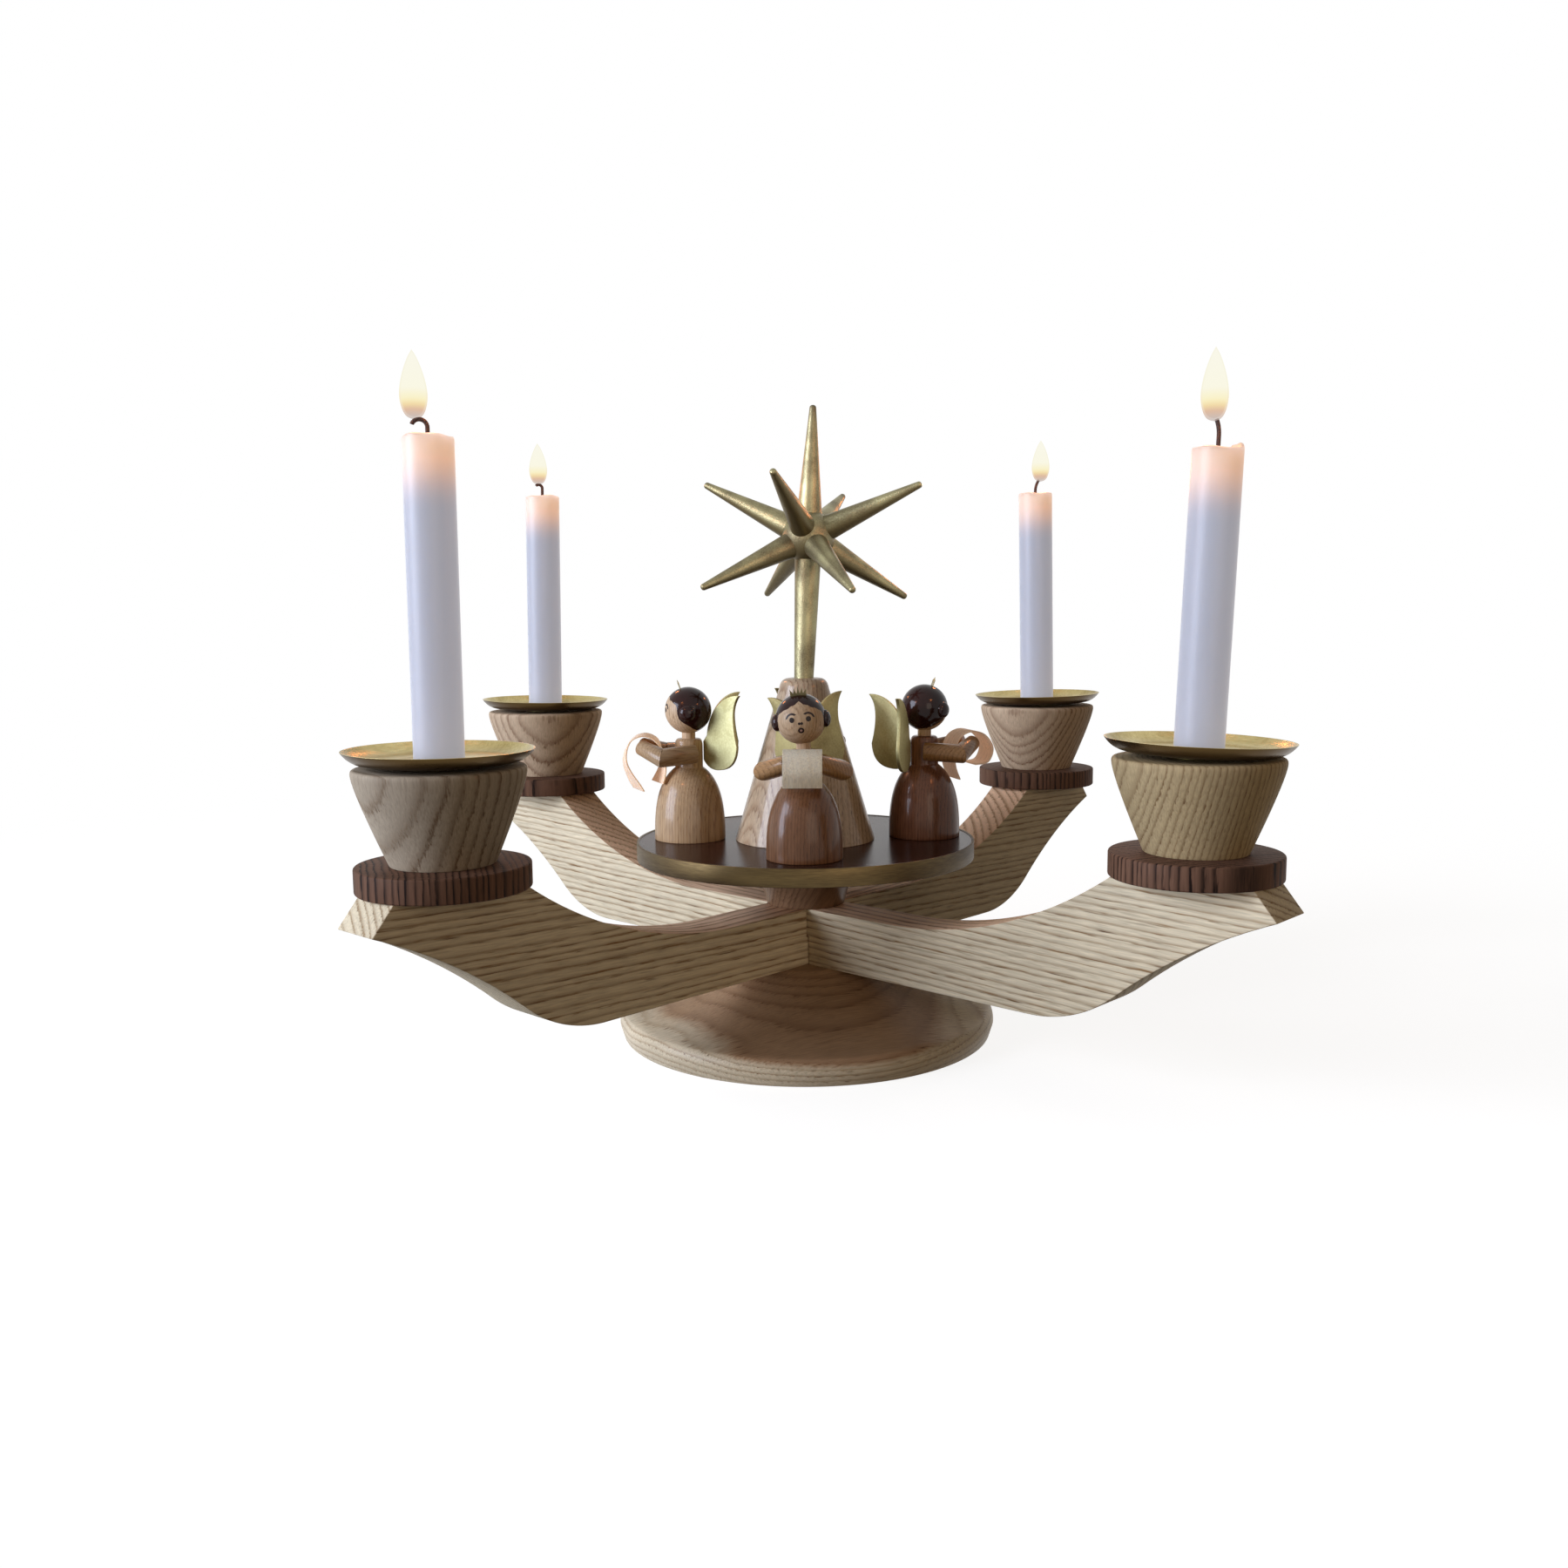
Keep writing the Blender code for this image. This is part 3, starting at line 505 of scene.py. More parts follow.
@dataclass(frozen=True)
class Wax:
    """White candle wax, cool by daylight, which the flame lights from inside at the top.

    Args:
        body: Colour of the wax.
        warm: Colour of the wax at the top.
        glow: Colour of the light inside it at the top.
        inner: Colour of the light that comes through it lower down.
        glow_depth: How far down the glow reaches, in metres.
        power: Strength of the light inside it, low down and at the top.
    """

    body: str = "#787C86"
    warm: str = "#D9BBAA"
    glow: str = "#FFC49A"
    inner: str = "#D6D8E4"
    glow_depth: float = 0.022
    power: Pair = (0.37, 0.40)

    def material(self, label: str, seat: Matrix, top: float) -> bpy.types.Material:
        """Builds the wax for one candle.

        Args:
            label: The candle's name.
            seat: Place and lean of the candle.
            top: Height of the candle's top in that place.

        Returns:
            The material.
        """
        material = blank(f"candle_wax_{label}")
        tree = material.node_tree
        place = node(tree, "TexCoord", out="Object")
        inputs = {"Vector": place, "Location": seat @ Vector((0.0, 0.0, top)), "Rotation": seat.to_euler()}
        local = node(tree, "Mapping", inputs, vector_type="TEXTURE")
        height = node(tree, "SeparateXYZ", {0: local}, out="Z")
        lit = node(
            tree,
            "MapRange",
            {"Value": height, "From Min": -self.glow_depth, "From Max": 0.0},
            interpolation_type="SMOOTHERSTEP",
        )
        power = node(tree, "MapRange", {"Value": lit, "To Min": self.power[0], "To Max": self.power[1]})
        light = node(
            tree, "Mix", {"Factor": lit, "A": linear(self.inner), "B": linear(self.glow)}, data_type="RGBA"
        )
        mottle = node(tree, "TexNoise", {"Vector": local, "Scale": 420.0, "Detail": 3.0})
        relief = node(tree, "Bump", {"Height": mottle, "Strength": 0.12, "Distance": 0.3 * MM})
        colour = node(
            tree, "Mix", {"Factor": lit, "A": linear(self.body), "B": linear(self.warm)}, data_type="RGBA"
        )
        shader = node(
            tree,
            "BsdfPrincipled",
            {
                "Base Color": colour,
                "Roughness": 0.38,
                "IOR": 1.44,
                "Subsurface Weight": 1.0,
                "Subsurface Radius": (1.0, 0.85, 0.75),
                "Subsurface Scale": 0.05,
                "Subsurface Anisotropy": 0.5,
                "Specular IOR Level": 0.3,
                "Emission Color": light,
                "Emission Strength": power,
                "Normal": relief,
            },
        )
        surface(tree, shader)
        return material


@dataclass(frozen=True)
class Flame:
    """Burning wax vapour: white in a barely yellow veil, tan over the wick and greyish at its lower end.

    Args:
        heart: Colours of the heart from the wick to the tip, each with its share of the height.
        veil: Colours of the veil in the same way.
        thickness: How much of what is behind it the veil hides.
    """

    heart: tuple = (
        (0.0, "#CBBFBA"),
        (1.0, "#FFFFFA"),
        (0.1, "#DDB79C"),
        (0.17, "#F8DE9C"),
        (0.27, "#FEFFDA"),
        (0.42, "#FFFFF6"),
    )
    veil: tuple = (
        (0.0, "#C4BAB6"),
        (1.0, "#F5F2DE"),
        (0.12, "#E0BFA4"),
        (0.25, "#F6E6B8"),
        (0.45, "#F6F2D8"),
    )
    thickness: float = 0.6

    def material(self, base: float, top: float, solid: bool) -> bpy.types.Material:
        """Builds the light of one layer of the flame.

        Args:
            base: Height of the layer's lower end.
            top: Height of its tip.
            solid: Whether the layer is the heart.

        Returns:
            The material.
        """
        material = blank("flame_heart" if solid else "flame_veil")
        tree = material.node_tree
        place = node(tree, "TexCoord", out="Object")
        height = node(tree, "SeparateXYZ", {0: place}, out="Z")
        share = node(tree, "MapRange", {"Value": height, "From Min": base, "From Max": top})
        colour = node(tree, "ValToRGB", {"Fac": share}, stops=self.heart if solid else self.veil)
        shader = node(
            tree,
            "BsdfPrincipled",
            {
                "Base Color": linear("#000000"),
                "Roughness": 1.0,
                "Specular IOR Level": 0.0,
                "Emission Color": colour,
                "Emission Strength": 1.0,
                "Alpha": 1.0 if solid else self.thickness,
            },
        )
        surface(tree, shader)
        return material


@dataclass(frozen=True)
class Char:
    """Cotton wick burnt to charcoal: matt, black-brown and crumbly."""

    black: str = "#17110F"
    brown: str = "#4A342C"

    def material(self) -> bpy.types.Material:
        """Returns the burnt cotton."""
        material = blank("charred_cotton")
        tree = material.node_tree
        place = node(tree, "TexCoord", out="Object")
        crumb = node(tree, "TexNoise", {"Vector": place, "Scale": 2500.0, "Detail": 3.0})
        colour = node(
            tree, "Mix", {"Factor": crumb, "A": linear(self.black), "B": linear(self.brown)}, data_type="RGBA"
        )
        relief = node(tree, "Bump", {"Height": crumb, "Strength": 0.6, "Distance": 0.2 * MM})
        shader = node(tree, "BsdfPrincipled", {"Base Color": colour, "Roughness": 0.85, "Normal": relief})
        surface(tree, shader)
        return material


@dataclass(frozen=True)
class HeadPaint:
    """Dark gloss enamel hair and a few brush strokes of a face, on a lacquered ball of wood.

    Args:
        hair: Colour of the hair.
        gleam: Colour of its lighter streaks.
        ink: Colour of the eyes, brows and nose.
        lip: Colour inside the open mouth.
        eye: Place of an eye in front of the head's centre, in millimetres.
        nose: Place of a nostril.
        mouth: Place of the mouth.
        brow_radius: Distance of a brow from its eye.
        brow_lift: How far over the eye a brow ends.
        brow_slant: Direction, outwards and up, in which a brow rises.
        strokes: Half the width of a stroke, for the mouth, its edge, a nostril, a brow and an eye.
        lip_radius: Distance of the mouth's edge from its middle.
        blur: How soft the edge of a stroke is.
    """

    hair: str = "#26110F"
    gleam: str = "#361A16"
    ink: str = "#1D120E"
    lip: str = "#B0897A"
    eye: Triple = (2.7, -7.84, 0.33)
    nose: Triple = (0.38, -8.2, -0.96)
    mouth: Triple = (0.0, -7.63, -3.27)
    brow_radius: float = 1.95
    brow_lift: float = 1.3
    brow_slant: Pair = (0.36, 0.93)
    strokes: tuple = (0.8, 0.3, 0.46, 0.34, 0.88)
    lip_radius: float = 0.72
    blur: float = 0.06

    def material(self, label: str, head: Matrix) -> bpy.types.Material:
        """Paints one head. The mesh's own attribute says where the hair is.

        Args:
            label: The figure's name.
            head: Place and turn of the head's centre.

        Returns:
            The material.
        """
        material = blank(f"painted_head_{label}")
        tree = material.node_tree
        along = head.to_3x3() @ Vector(UP)
        across = head.to_3x3() @ Vector((0.5, 0.86, 0.0))
        grain = Grain(tuple(head.translation), tuple(along), tuple(across), pith=60.0)
        wood, _ = FACE_BEECH.colour(tree, grain.local(tree), grain.pith)
        place = node(tree, "TexCoord", out="Object")
        inputs = {"Vector": place, "Location": head.translation, "Rotation": head.to_euler()}
        local = node(tree, "Mapping", {**inputs, "Scale": (MM, MM, MM)}, vector_type="TEXTURE")
        half = node(tree, "VectorMath", {0: local, 1: (-1.0, 1.0, 1.0)}, operation="MULTIPLY")
        half = node(tree, "VectorMath", {0: half, 1: local}, operation="MAXIMUM")
        marks = ((half, self.eye), (half, self.nose), (local, self.mouth))
        eye, nose, mouth = [node(tree, "VectorMath", {0: a, 1: b}, operation="DISTANCE") for a, b in marks]
        side, rise = self.brow_slant
        up = node(tree, "VectorMath", {0: half, 1: (side, 0.0, rise)}, operation="DOT_PRODUCT")
        edges = []
        for distance, radius in ((eye, self.brow_radius), (mouth, self.lip_radius)):
            edge = node(tree, "Math", {0: distance, 1: radius}, operation="SUBTRACT")
            edges.append(node(tree, "Math", {0: edge}, operation="ABSOLUTE"))
        brow, lips = edges
        brow_end = self.eye[0] * side + self.eye[2] * rise + self.brow_lift
        low = node(tree, "Math", {0: brow_end, 1: up}, operation="SUBTRACT")
        brow = node(tree, "Math", {0: brow, 1: low, 2: 0.1}, operation="SMOOTH_MAX")
        colour = wood
        for distance, radius in zip((mouth, lips, nose, brow, eye), self.strokes):
            inputs = {"Value": distance, "From Min": radius + self.blur, "From Max": radius - self.blur}
            stroke = node(tree, "MapRange", inputs)
            paint = linear(self.lip if distance is mouth else self.ink)
            colour = node(tree, "Mix", {"Factor": stroke, "A": colour, "B": paint}, data_type="RGBA")
        mask = node(tree, "Attribute", out="Fac", attribute_name="hair")
        mask = node(tree, "MapRange", {"Value": mask, "From Min": -0.06, "From Max": 0.06})
        streak = node(tree, "TexNoise", {"Vector": local, "Scale": 0.5, "Detail": 2.0})
        enamel = node(
            tree, "Mix", {"Factor": streak, "A": linear(self.hair), "B": linear(self.gleam)}, data_type="RGBA"
        )
        colour = node(tree, "Mix", {"Factor": mask, "A": colour, "B": enamel}, data_type="RGBA")
        rough = node(tree, "MapRange", {"Value": mask, "To Min": 0.42, "To Max": 0.14})
        shader = node(
            tree,
            "BsdfPrincipled",
            {"Base Color": colour, "Roughness": rough, "Specular IOR Level": 0.2},
        )
        surface(tree, shader)
        return material


def arc(centre: Pair, radius: float, start: float, end: float, count: int) -> list[Pair]:
    """Returns points of a circular arc, with its angles in degrees."""
    angles = [math.radians(start + (end - start) * i / count) for i in range(count + 1)]
    return [(centre[0] + radius * math.cos(a), centre[1] + radius * math.sin(a)) for a in angles]


def curve(start: Pair, control: Pair, end: Pair, count: int) -> list[Pair]:
    """Returns points of a quadratic curve, without its first point."""
    points = []
    for i in range(1, count + 1):
        t = i / count
        weights = ((1.0 - t) ** 2, 2.0 * t * (1.0 - t), t * t)
        points.append(tuple(sum(w * p[k] for w, p in zip(weights, (start, control, end))) for k in (0, 1)))
    return points


def through(points: Sequence[Pair], count: int) -> list[Pair]:
    """Returns a smooth path through all the points, with this many steps between two of them."""
    padded = [points[0], *points, points[-1]]
    path = [points[0]]
    for a, b, c, d in zip(padded, padded[1:], padded[2:], padded[3:]):
        for i in range(1, count + 1):
            t = i / count
            weights = (
                (-t + 2.0 * t**2 - t**3) / 2.0,
                (2.0 - 5.0 * t**2 + 3.0 * t**3) / 2.0,
                (t + 4.0 * t**2 - 3.0 * t**3) / 2.0,
                (t**3 - t**2) / 2.0,
            )
            path.append(tuple(sum(w * p[k] for w, p in zip(weights, (a, b, c, d))) for k in (0, 1)))
    return path


def meeting(first: Pair, first_slope: float, second: Pair, second_slope: float) -> Pair:
    """Returns where two lines meet, each given by a point and a slope in degrees."""
    a = math.tan(math.radians(first_slope))
    b = math.tan(math.radians(second_slope))
    x = (second[1] - first[1] + a * first[0] - b * second[0]) / (a - b)
    return (x, first[1] + a * (x - first[0]))


def spun(angle: float, axis: str) -> Matrix:
    """Returns a turn by this many degrees about an axis."""
    return Matrix.Rotation(math.radians(angle), 4, axis)


def pick(*pieces: Solid) -> None:
    """Selects these objects and nothing else, and makes the first one active."""
    bpy.ops.object.select_all(action="DESELECT")
    for piece in pieces:
        piece.select_set(True)
    bpy.context.view_layer.objects.active = pieces[0]


def added(operator: Callable, **settings) -> Solid:
    """Adds a basic mesh and applies its place.

    Args:
        operator: The operator that adds it.
        settings: The operator's settings.

    Returns:
        The new object.
    """
    bpy.ops.object.select_all(action="DESELECT")
    operator(calc_uvs=False, **settings)
    bpy.ops.object.transform_apply(location=True, rotation=True, scale=True)
    return bpy.context.active_object


def drawn(name: str, points: Sequence[Triple]) -> Solid:
    """Draws a line by extruding one point of a plane, and stays in edit mode with all of it selected.

    Args:
        name: Name of the new object.
        points: The line's points.

    Returns:
        The object.
    """
    line = added(bpy.ops.mesh.primitive_plane_add, size=MM)
    line.name = line.data.name = name
    bpy.ops.object.mode_set(mode="EDIT")
    bpy.ops.mesh.merge(type="CENTER")
    bpy.ops.transform.translate(value=points[0])
    for a, b in zip(points, points[1:]):
        step = [q - p for p, q in zip(a, b)]
        bpy.ops.mesh.extrude_vertices_move(TRANSFORM_OT_translate={"value": step})
    bpy.ops.mesh.select_all(action="SELECT")
    return line


def closed(piece: Solid) -> Solid:
    """Welds the mesh in edit mode, turns its faces out and leaves edit mode."""
    bpy.ops.mesh.select_all(action="SELECT")
    bpy.ops.mesh.remove_doubles(threshold=WELD)
    bpy.ops.mesh.normals_make_consistent(inside=False)
    bpy.ops.object.mode_set(mode="OBJECT")
    return piece


def shaped(piece: Solid, kind: str, **settings) -> Solid:
    """Adds a modifier and applies it.

    Args:
        piece: The object.
        kind: Type of the modifier.
        settings: The modifier's settings.

    Returns:
        The same object.
    """
    pick(piece)
    modifier = piece.modifiers.new(kind.lower(), kind)
    for key, value in settings.items():
        setattr(modifier, key, value)
    bpy.ops.object.modifier_apply(modifier=modifier.name)
    return piece


def eased(piece: Solid, width: float = 0.0, angle: float = 32.0) -> Solid:
    """Rounds the hard edges by this width and shades the rest smooth."""
    if width:
        limit = math.radians(angle)
        shaped(piece, "BEVEL", width=width, segments=3, limit_method="ANGLE", angle_limit=limit)
    pick(piece)
    bpy.ops.object.shade_smooth_by_angle(angle=math.radians(angle))
    return piece


def turned(name: str, profile: Sequence[Pair], steps: int = 96, edge: float = 0.0) -> Solid:
    """Turns a (radius, height) profile round the Z axis.

    Args:
        name: Name of the new object.
        profile: The profile, from the axis to the axis, or a loop that ends where it starts.
        steps: Steps round the axis.
        edge: Rounding of the hard edges.

    Returns:
        The object.
    """
    piece = drawn(name, [(radius, 0.0, height) for radius, height in profile])
    bpy.ops.mesh.remove_doubles(threshold=WELD)
    bpy.ops.mesh.select_all(action="SELECT")
    bpy.ops.mesh.spin(steps=steps, angle=math.tau, center=(0.0, 0.0, 0.0), axis=UP, use_auto_merge=True)
    return eased(closed(piece), edge)


def cut_out(name: str, outline: Sequence[Triple], thickness: Triple, edge: float) -> Solid:
    """Saws a flat outline from a board.

    Args:
        name: Name of the new object.
        outline: The outline's points, in order.
        thickness: The board's thickness as a vector.
        edge: Rounding of the sawn edges.

    Returns:
        The object.
    """
    piece = drawn(name, [*outline, outline[0]])
    bpy.ops.mesh.remove_doubles(threshold=WELD)
    bpy.ops.mesh.select_all(action="SELECT")
    bpy.ops.mesh.edge_face_add()
    bpy.ops.mesh.extrude_region_move(TRANSFORM_OT_translate={"value": thickness})
    return eased(closed(piece), edge, angle=38.0)


def joined(name: str, *pieces: Solid) -> Solid:
    """Joins objects into the first one and renames it."""
    pick(*pieces)
    bpy.ops.object.join()
    piece = bpy.context.active_object
    piece.name = piece.data.name = name
    return piece


def placed(piece: Solid, place: Matrix) -> Solid:
    """Moves a piece to its place and applies that to its mesh."""
    pick(piece)
    piece.matrix_world = place
    bpy.ops.object.transform_apply(location=True, rotation=True, scale=True)
    return piece


def copied(piece: Solid, name: str, place: Matrix) -> Solid:
    """Makes a copy with its own mesh at another place.

    Args:
        piece: The pattern.
        name: Name of the copy.
        place: Where the copy goes.

    Returns:
        The copy.
    """
    pick(piece)
    bpy.ops.object.duplicate(linked=False)
    copy = bpy.context.active_object
    copy.name = copy.data.name = name
    return placed(copy, place)


def discard(*patterns: Solid) -> None:
    """Deletes patterns that only copies were made from."""
    pick(*patterns)
    bpy.ops.object.delete()


def dress(piece: Solid, body: str, slot: str | None, material: bpy.types.Material, *nodes: str) -> Solid:
    """Gives a finished piece its finish and its place in the frame.

    Args:
        piece: The finished piece.
        body: The CAD body that it rides on.
        slot: The record's material slot; not used.
        material: Its finish.
        nodes: The solids that it stands for.

    Returns:
        The piece.
    """
    piece.data.materials.clear()
    piece.data.materials.append(material)
    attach(piece, body)
    if nodes:
        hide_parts(*nodes)
    log.info("%s: %d faces on %s", piece.name, len(piece.data.polygons), body)
    return piece


@dataclass
class Foot:
    """The low turned foot. Each pair is a radius and a height."""

    radius: float = 0.0676
    underside_radius: float = 0.0662
    edge: Pair = (0.0657, 0.0091)
    pad: Pair = (0.0220, 0.0262)
    sweep: Pair = (0.0370, 0.0145)

    def build(self) -> None:
        """Turns the foot and oils it."""
        belly = (self.radius, self.edge[1] * 0.5)
        profile = [(0.0, self.pad[1]), self.pad]
        profile += curve(self.pad, self.sweep, self.edge, 28)
        profile += curve(self.edge, (self.radius, self.edge[1] * 0.88), belly, 10)
        profile += [(self.underside_radius, 0.0), (0.0, 0.0)]
        piece = turned("foot_fine", profile, steps=160, edge=0.35 * MM)
        grain = Grain((0.0, 0.0, 0.012), along=(0.94, 0.34, 0.03), across=(0.05, 0.03, 1.0), pith=320.0)
        dress(piece, STAND, "ash", FOOT_ASH.material("foot", grain), "foot")


@dataclass
class Cross:
    """The two bent-up beams, half-lapped where they cross."""

    width: float = 0.0180
    floor: float = 0.0262
    top: float = 0.0462
    arm_top: float = 0.0746
    arm_top_reach: float = 0.1722
    reach: float = 0.1789
    tip_height: float = 0.0665
    tip_slope: float = 22.0
    saddle_start: float = 0.0460
    saddle_radius: float = 0.1400
    heel_start: float = 0.1010
    heel_radius: float = 0.0450
    heel_slope: float = 40.5
    lap_gap: float = 0.0003

    def arm(self) -> list[Pair]:
        """Returns half of a beam's outline, out along the arm's top and back along its underside."""
        rise = math.degrees(math.acos(1.0 - (self.arm_top - self.top) / self.saddle_radius))
        hollow = (self.saddle_start, self.top + self.saddle_radius)
        saddle = arc(hollow, self.saddle_radius, -90.0, rise - 90.0, 40)
        swell = (self.heel_start, self.floor + self.heel_radius)
        heel = arc(swell, self.heel_radius, self.heel_slope - 90.0, -90.0, 24)
        tip = (self.reach, self.tip_height)
        under = curve(tip, meeting(heel[0], self.heel_slope, tip, self.tip_slope), heel[0], 24)
        return saddle + [(self.arm_top_reach, self.arm_top), tip] + under + heel[1:]

    def beam(self, name: str, heading: float, lapped_on_top: bool, grain: Grain) -> None:
        """Saws one beam.

        Args:
            name: The beam's solid.
            heading: Direction of the beam in degrees.
            lapped_on_top: Whether its upper half is cut away at the crossing.
            grain: How it lies in the plank.
        """
        lap = self.width / 2.0 + self.lap_gap
        middle = (self.floor + self.top) / 2.0
        half = self.arm()
        if lapped_on_top:
            half = [(lap, middle - self.lap_gap / 2.0), (lap, self.top)] + half
        else:
            half = half + [(lap, self.floor), (lap, middle + self.lap_gap / 2.0)]
        outline = half + [(-reach, height) for reach, height in reversed(half)]
        side = [(reach, -self.width / 2.0, height) for reach, height in outline]
        piece = cut_out(name + "_fine", side, (0.0, self.width, 0.0), edge=0.35 * MM)
        placed(piece, spun(heading, "Z"))
        dress(piece, STAND, "ash", BEAM_ASH.material(name, grain), name)

    def build(self) -> None:
        """Saws both beams, each with its own figure in the wood."""
        lower = Grain((0.0, 0.0, 0.03), along=(0.71, 0.71, -0.035), across=(0.42, -0.42, 0.80), pith=140.0)
        upper = Grain((0.01, 0.02, 0.06), along=(-0.71, 0.71, 0.03), across=(0.40, 0.40, 0.82), pith=150.0)
        self.beam("beam_lower", 45.0, True, lower)
        self.beam("beam_upper", 135.0, False, upper)


@dataclass
class FigurePlate:
    """Collar, round plate with its brass band, and the cone in the middle.

    Each pair is a radius and a height.
    """

    collar_foot: Pair = (0.0140, 0.0462)
    collar_waist: float = 0.0160
    collar_head: Pair = (0.0205, 0.0636)
    radius: float = 0.0594
    bottom: float = 0.0636
    top: float = 0.06945
    band_radius: float = 0.0603
    band_proud: float = 0.0002
    cone_radius: float = 0.0250
    cone_neck: Pair = (0.0089, 0.1234)
    cone_top: Pair = (0.0052, 0.1271)

    def build(self) -> None:
        """Turns the pieces and bends the band round the plate."""
        self.collar()
        self.plate()
        self.cone()

    def collar(self) -> None:
        """Turns the tulip-shaped collar."""
        waist = (self.collar_waist, (self.collar_foot[1] + self.collar_head[1]) / 2.0)
        profile = [(0.0, self.collar_head[1]), self.collar_head]
        profile += curve(self.collar_head, waist, self.collar_foot, 20)
        profile.append((0.0, self.collar_foot[1]))
        piece = turned("collar_fine", profile, steps=112, edge=0.3 * MM)
        grain = Grain((0.0, 0.0, 0.05), along=(0.5, -0.2, 0.84), across=(0.8, -0.55, -0.2), pith=50.0)
        dress(piece, STAND, "beech", SHADED_COLLAR_WOOD.material("collar", grain), "collar")

    def plate(self) -> None:
        """Turns the stained plate and the band round it."""
        profile = [(0.0, self.top), (self.radius, self.top), (self.radius, self.bottom), (0.0, self.bottom)]
        piece = turned("figure_plate_fine", profile, steps=160)
        grain = Grain((0.0, 0.0, 0.06), along=(0.9, 0.4, 0.0), across=(0.1, -0.2, 0.95), pith=110.0)
        dress(piece, STAND, "dark_plate", STAINED.material("plate", grain), "figure_plate")
        low = self.bottom - self.band_proud
        high = self.top + self.band_proud
        profile = [(self.radius, high), (self.band_radius, high), (self.band_radius, low), (self.radius, low)]
        band = turned("brass_band_fine", [*profile, profile[0]], steps=160, edge=0.18 * MM)
        metal = BAND_BRASS.material("band", stretch=(9.0, 9.0, 0.7))
        dress(band, STAND, "brass", metal, "brass_band")

    def cone(self) -> None:
        """Turns the cone that the star stands in."""
        shoulder = (self.cone_neck[0] * 0.93, self.cone_top[1])
        profile = [(0.0, self.cone_top[1]), self.cone_top]
        profile += list(reversed(curve(self.cone_neck, shoulder, self.cone_top, 14)))[1:]
        profile += [self.cone_neck, (self.cone_radius, self.top), (0.0, self.top)]
        piece = turned("star_cone_fine", profile, steps=112, edge=0.3 * MM)
        grain = Grain((0.0, 0.0, 0.09), along=(0.05, 0.02, 1.0), across=(0.85, 0.5, 0.0), pith=55.0)
        dress(piece, STAND, "beech", CONE_WOOD.material("cone", grain), "star_cone")


@dataclass
class Star:
    """The gold star: a post with ball hub and top spike, and two rings of four spikes.

    Args:
        lean: Lean about X and about Y, in degrees.
        rings: Each ring's name, its elevation and the direction of its first spike, in degrees.
    """

    foot_height: float = 0.1271
    lean: Pair = (-1.0, 2.4)
    stem_radius: float = 0.0034
    stem_top_radius: float = 0.0046
    hub_height: float = 0.0494
    hub_radius: float = 0.0092
    hub_flat: float = 0.0080
    sunk: float = 0.0010
    spike_root: float = 0.0012
    spike_collar: float = 0.0003
    spike_radius: float = 0.0044
    tip_radius: float = 0.0012
    reach: float = 0.0438
    top_reach: float = 0.0452
    rings: tuple = (("upper", 24.5, -21.0), ("lower", -26.5, 20.0))

    def spike(self, base: float, reach: float) -> list[Pair]:
        """Returns a spike's outline from its base out to its rounded tip."""
        shoulder = reach - self.tip_radius
        tip = curve((self.tip_radius, shoulder), (self.tip_radius, reach), (0.0, reach), 8)
        return [(self.spike_radius, base), (self.tip_radius, shoulder)] + tip

    def build(self) -> None:
        """Turns the post and the spikes, sets them together and gilds them."""
        lean = spun(self.lean[1], "Y") @ spun(self.lean[0], "X")
        place = Matrix.Translation((0.0, 0.0, self.foot_height)) @ lean
        spike_foot = math.degrees(math.acos(self.spike_radius / self.hub_radius))
        stem_head = -math.degrees(math.acos(self.stem_top_radius / self.hub_radius))
        ball = arc((0.0, self.hub_height), self.hub_radius, spike_foot, stem_head, 28)
        top = self.spike(ball[0][1], self.hub_height + self.top_reach)
        profile = list(reversed(top)) + ball[1:] + [(self.stem_radius, -self.sunk), (0.0, -self.sunk)]
        post = placed(turned("star_post_fine", profile, steps=72), place)
        gold = GOLD_PAINT.material("star")
        dress(post, STAND, "gold_wood", gold, "star_post")
        low = self.hub_flat - self.spike_root
        profile = [(0.0, low), (self.spike_radius, low)]
        profile += self.spike(self.hub_flat + self.spike_collar, self.reach)
        pattern = turned("spike_pattern", profile, steps=64, edge=0.25 * MM)
        hub = place @ Matrix.Translation((0.0, 0.0, self.hub_height))
        for ring, elevation, first in self.rings:
            for i in range(4):
                root = hub @ spun(first + 90.0 * i, "Z") @ spun(90.0 - elevation, "Y")
                name = f"star_spike_{ring}_{i + 1}"
                dress(copied(pattern, name + "_fine", root), STAND, "gold_wood", gold, name)
        discard(pattern)


class Sheet(Enum):
    """How a figure's song sheet, a curled shaving, runs from its inner end over the hands to its free end.

    Each point is a distance ahead of the figure's axis and a height, in millimetres.
    """

    SHORT = ((10.0, 28.5), (9.6, 32.5), (11.6, 35.8), (16.0, 37.7), (20.6, 36.2), (22.7, 31.2), (21.4, 26.2))
    LONG = (
        *((11.4, 20.5), (9.6, 25.5), (9.4, 31.0), (11.6, 35.8), (16.0, 37.7)),
        *((20.4, 35.8), (22.8, 30.5), (22.2, 25.5), (18.2, 18.0)),
    )
    CURLED = (
        *((11.4, 20.5), (9.6, 25.5), (9.4, 31.0), (11.6, 35.8), (16.0, 37.7)),
        *((21.0, 36.2), (24.0, 31.5), (22.2, 26.6), (17.2, 25.8)),
    )


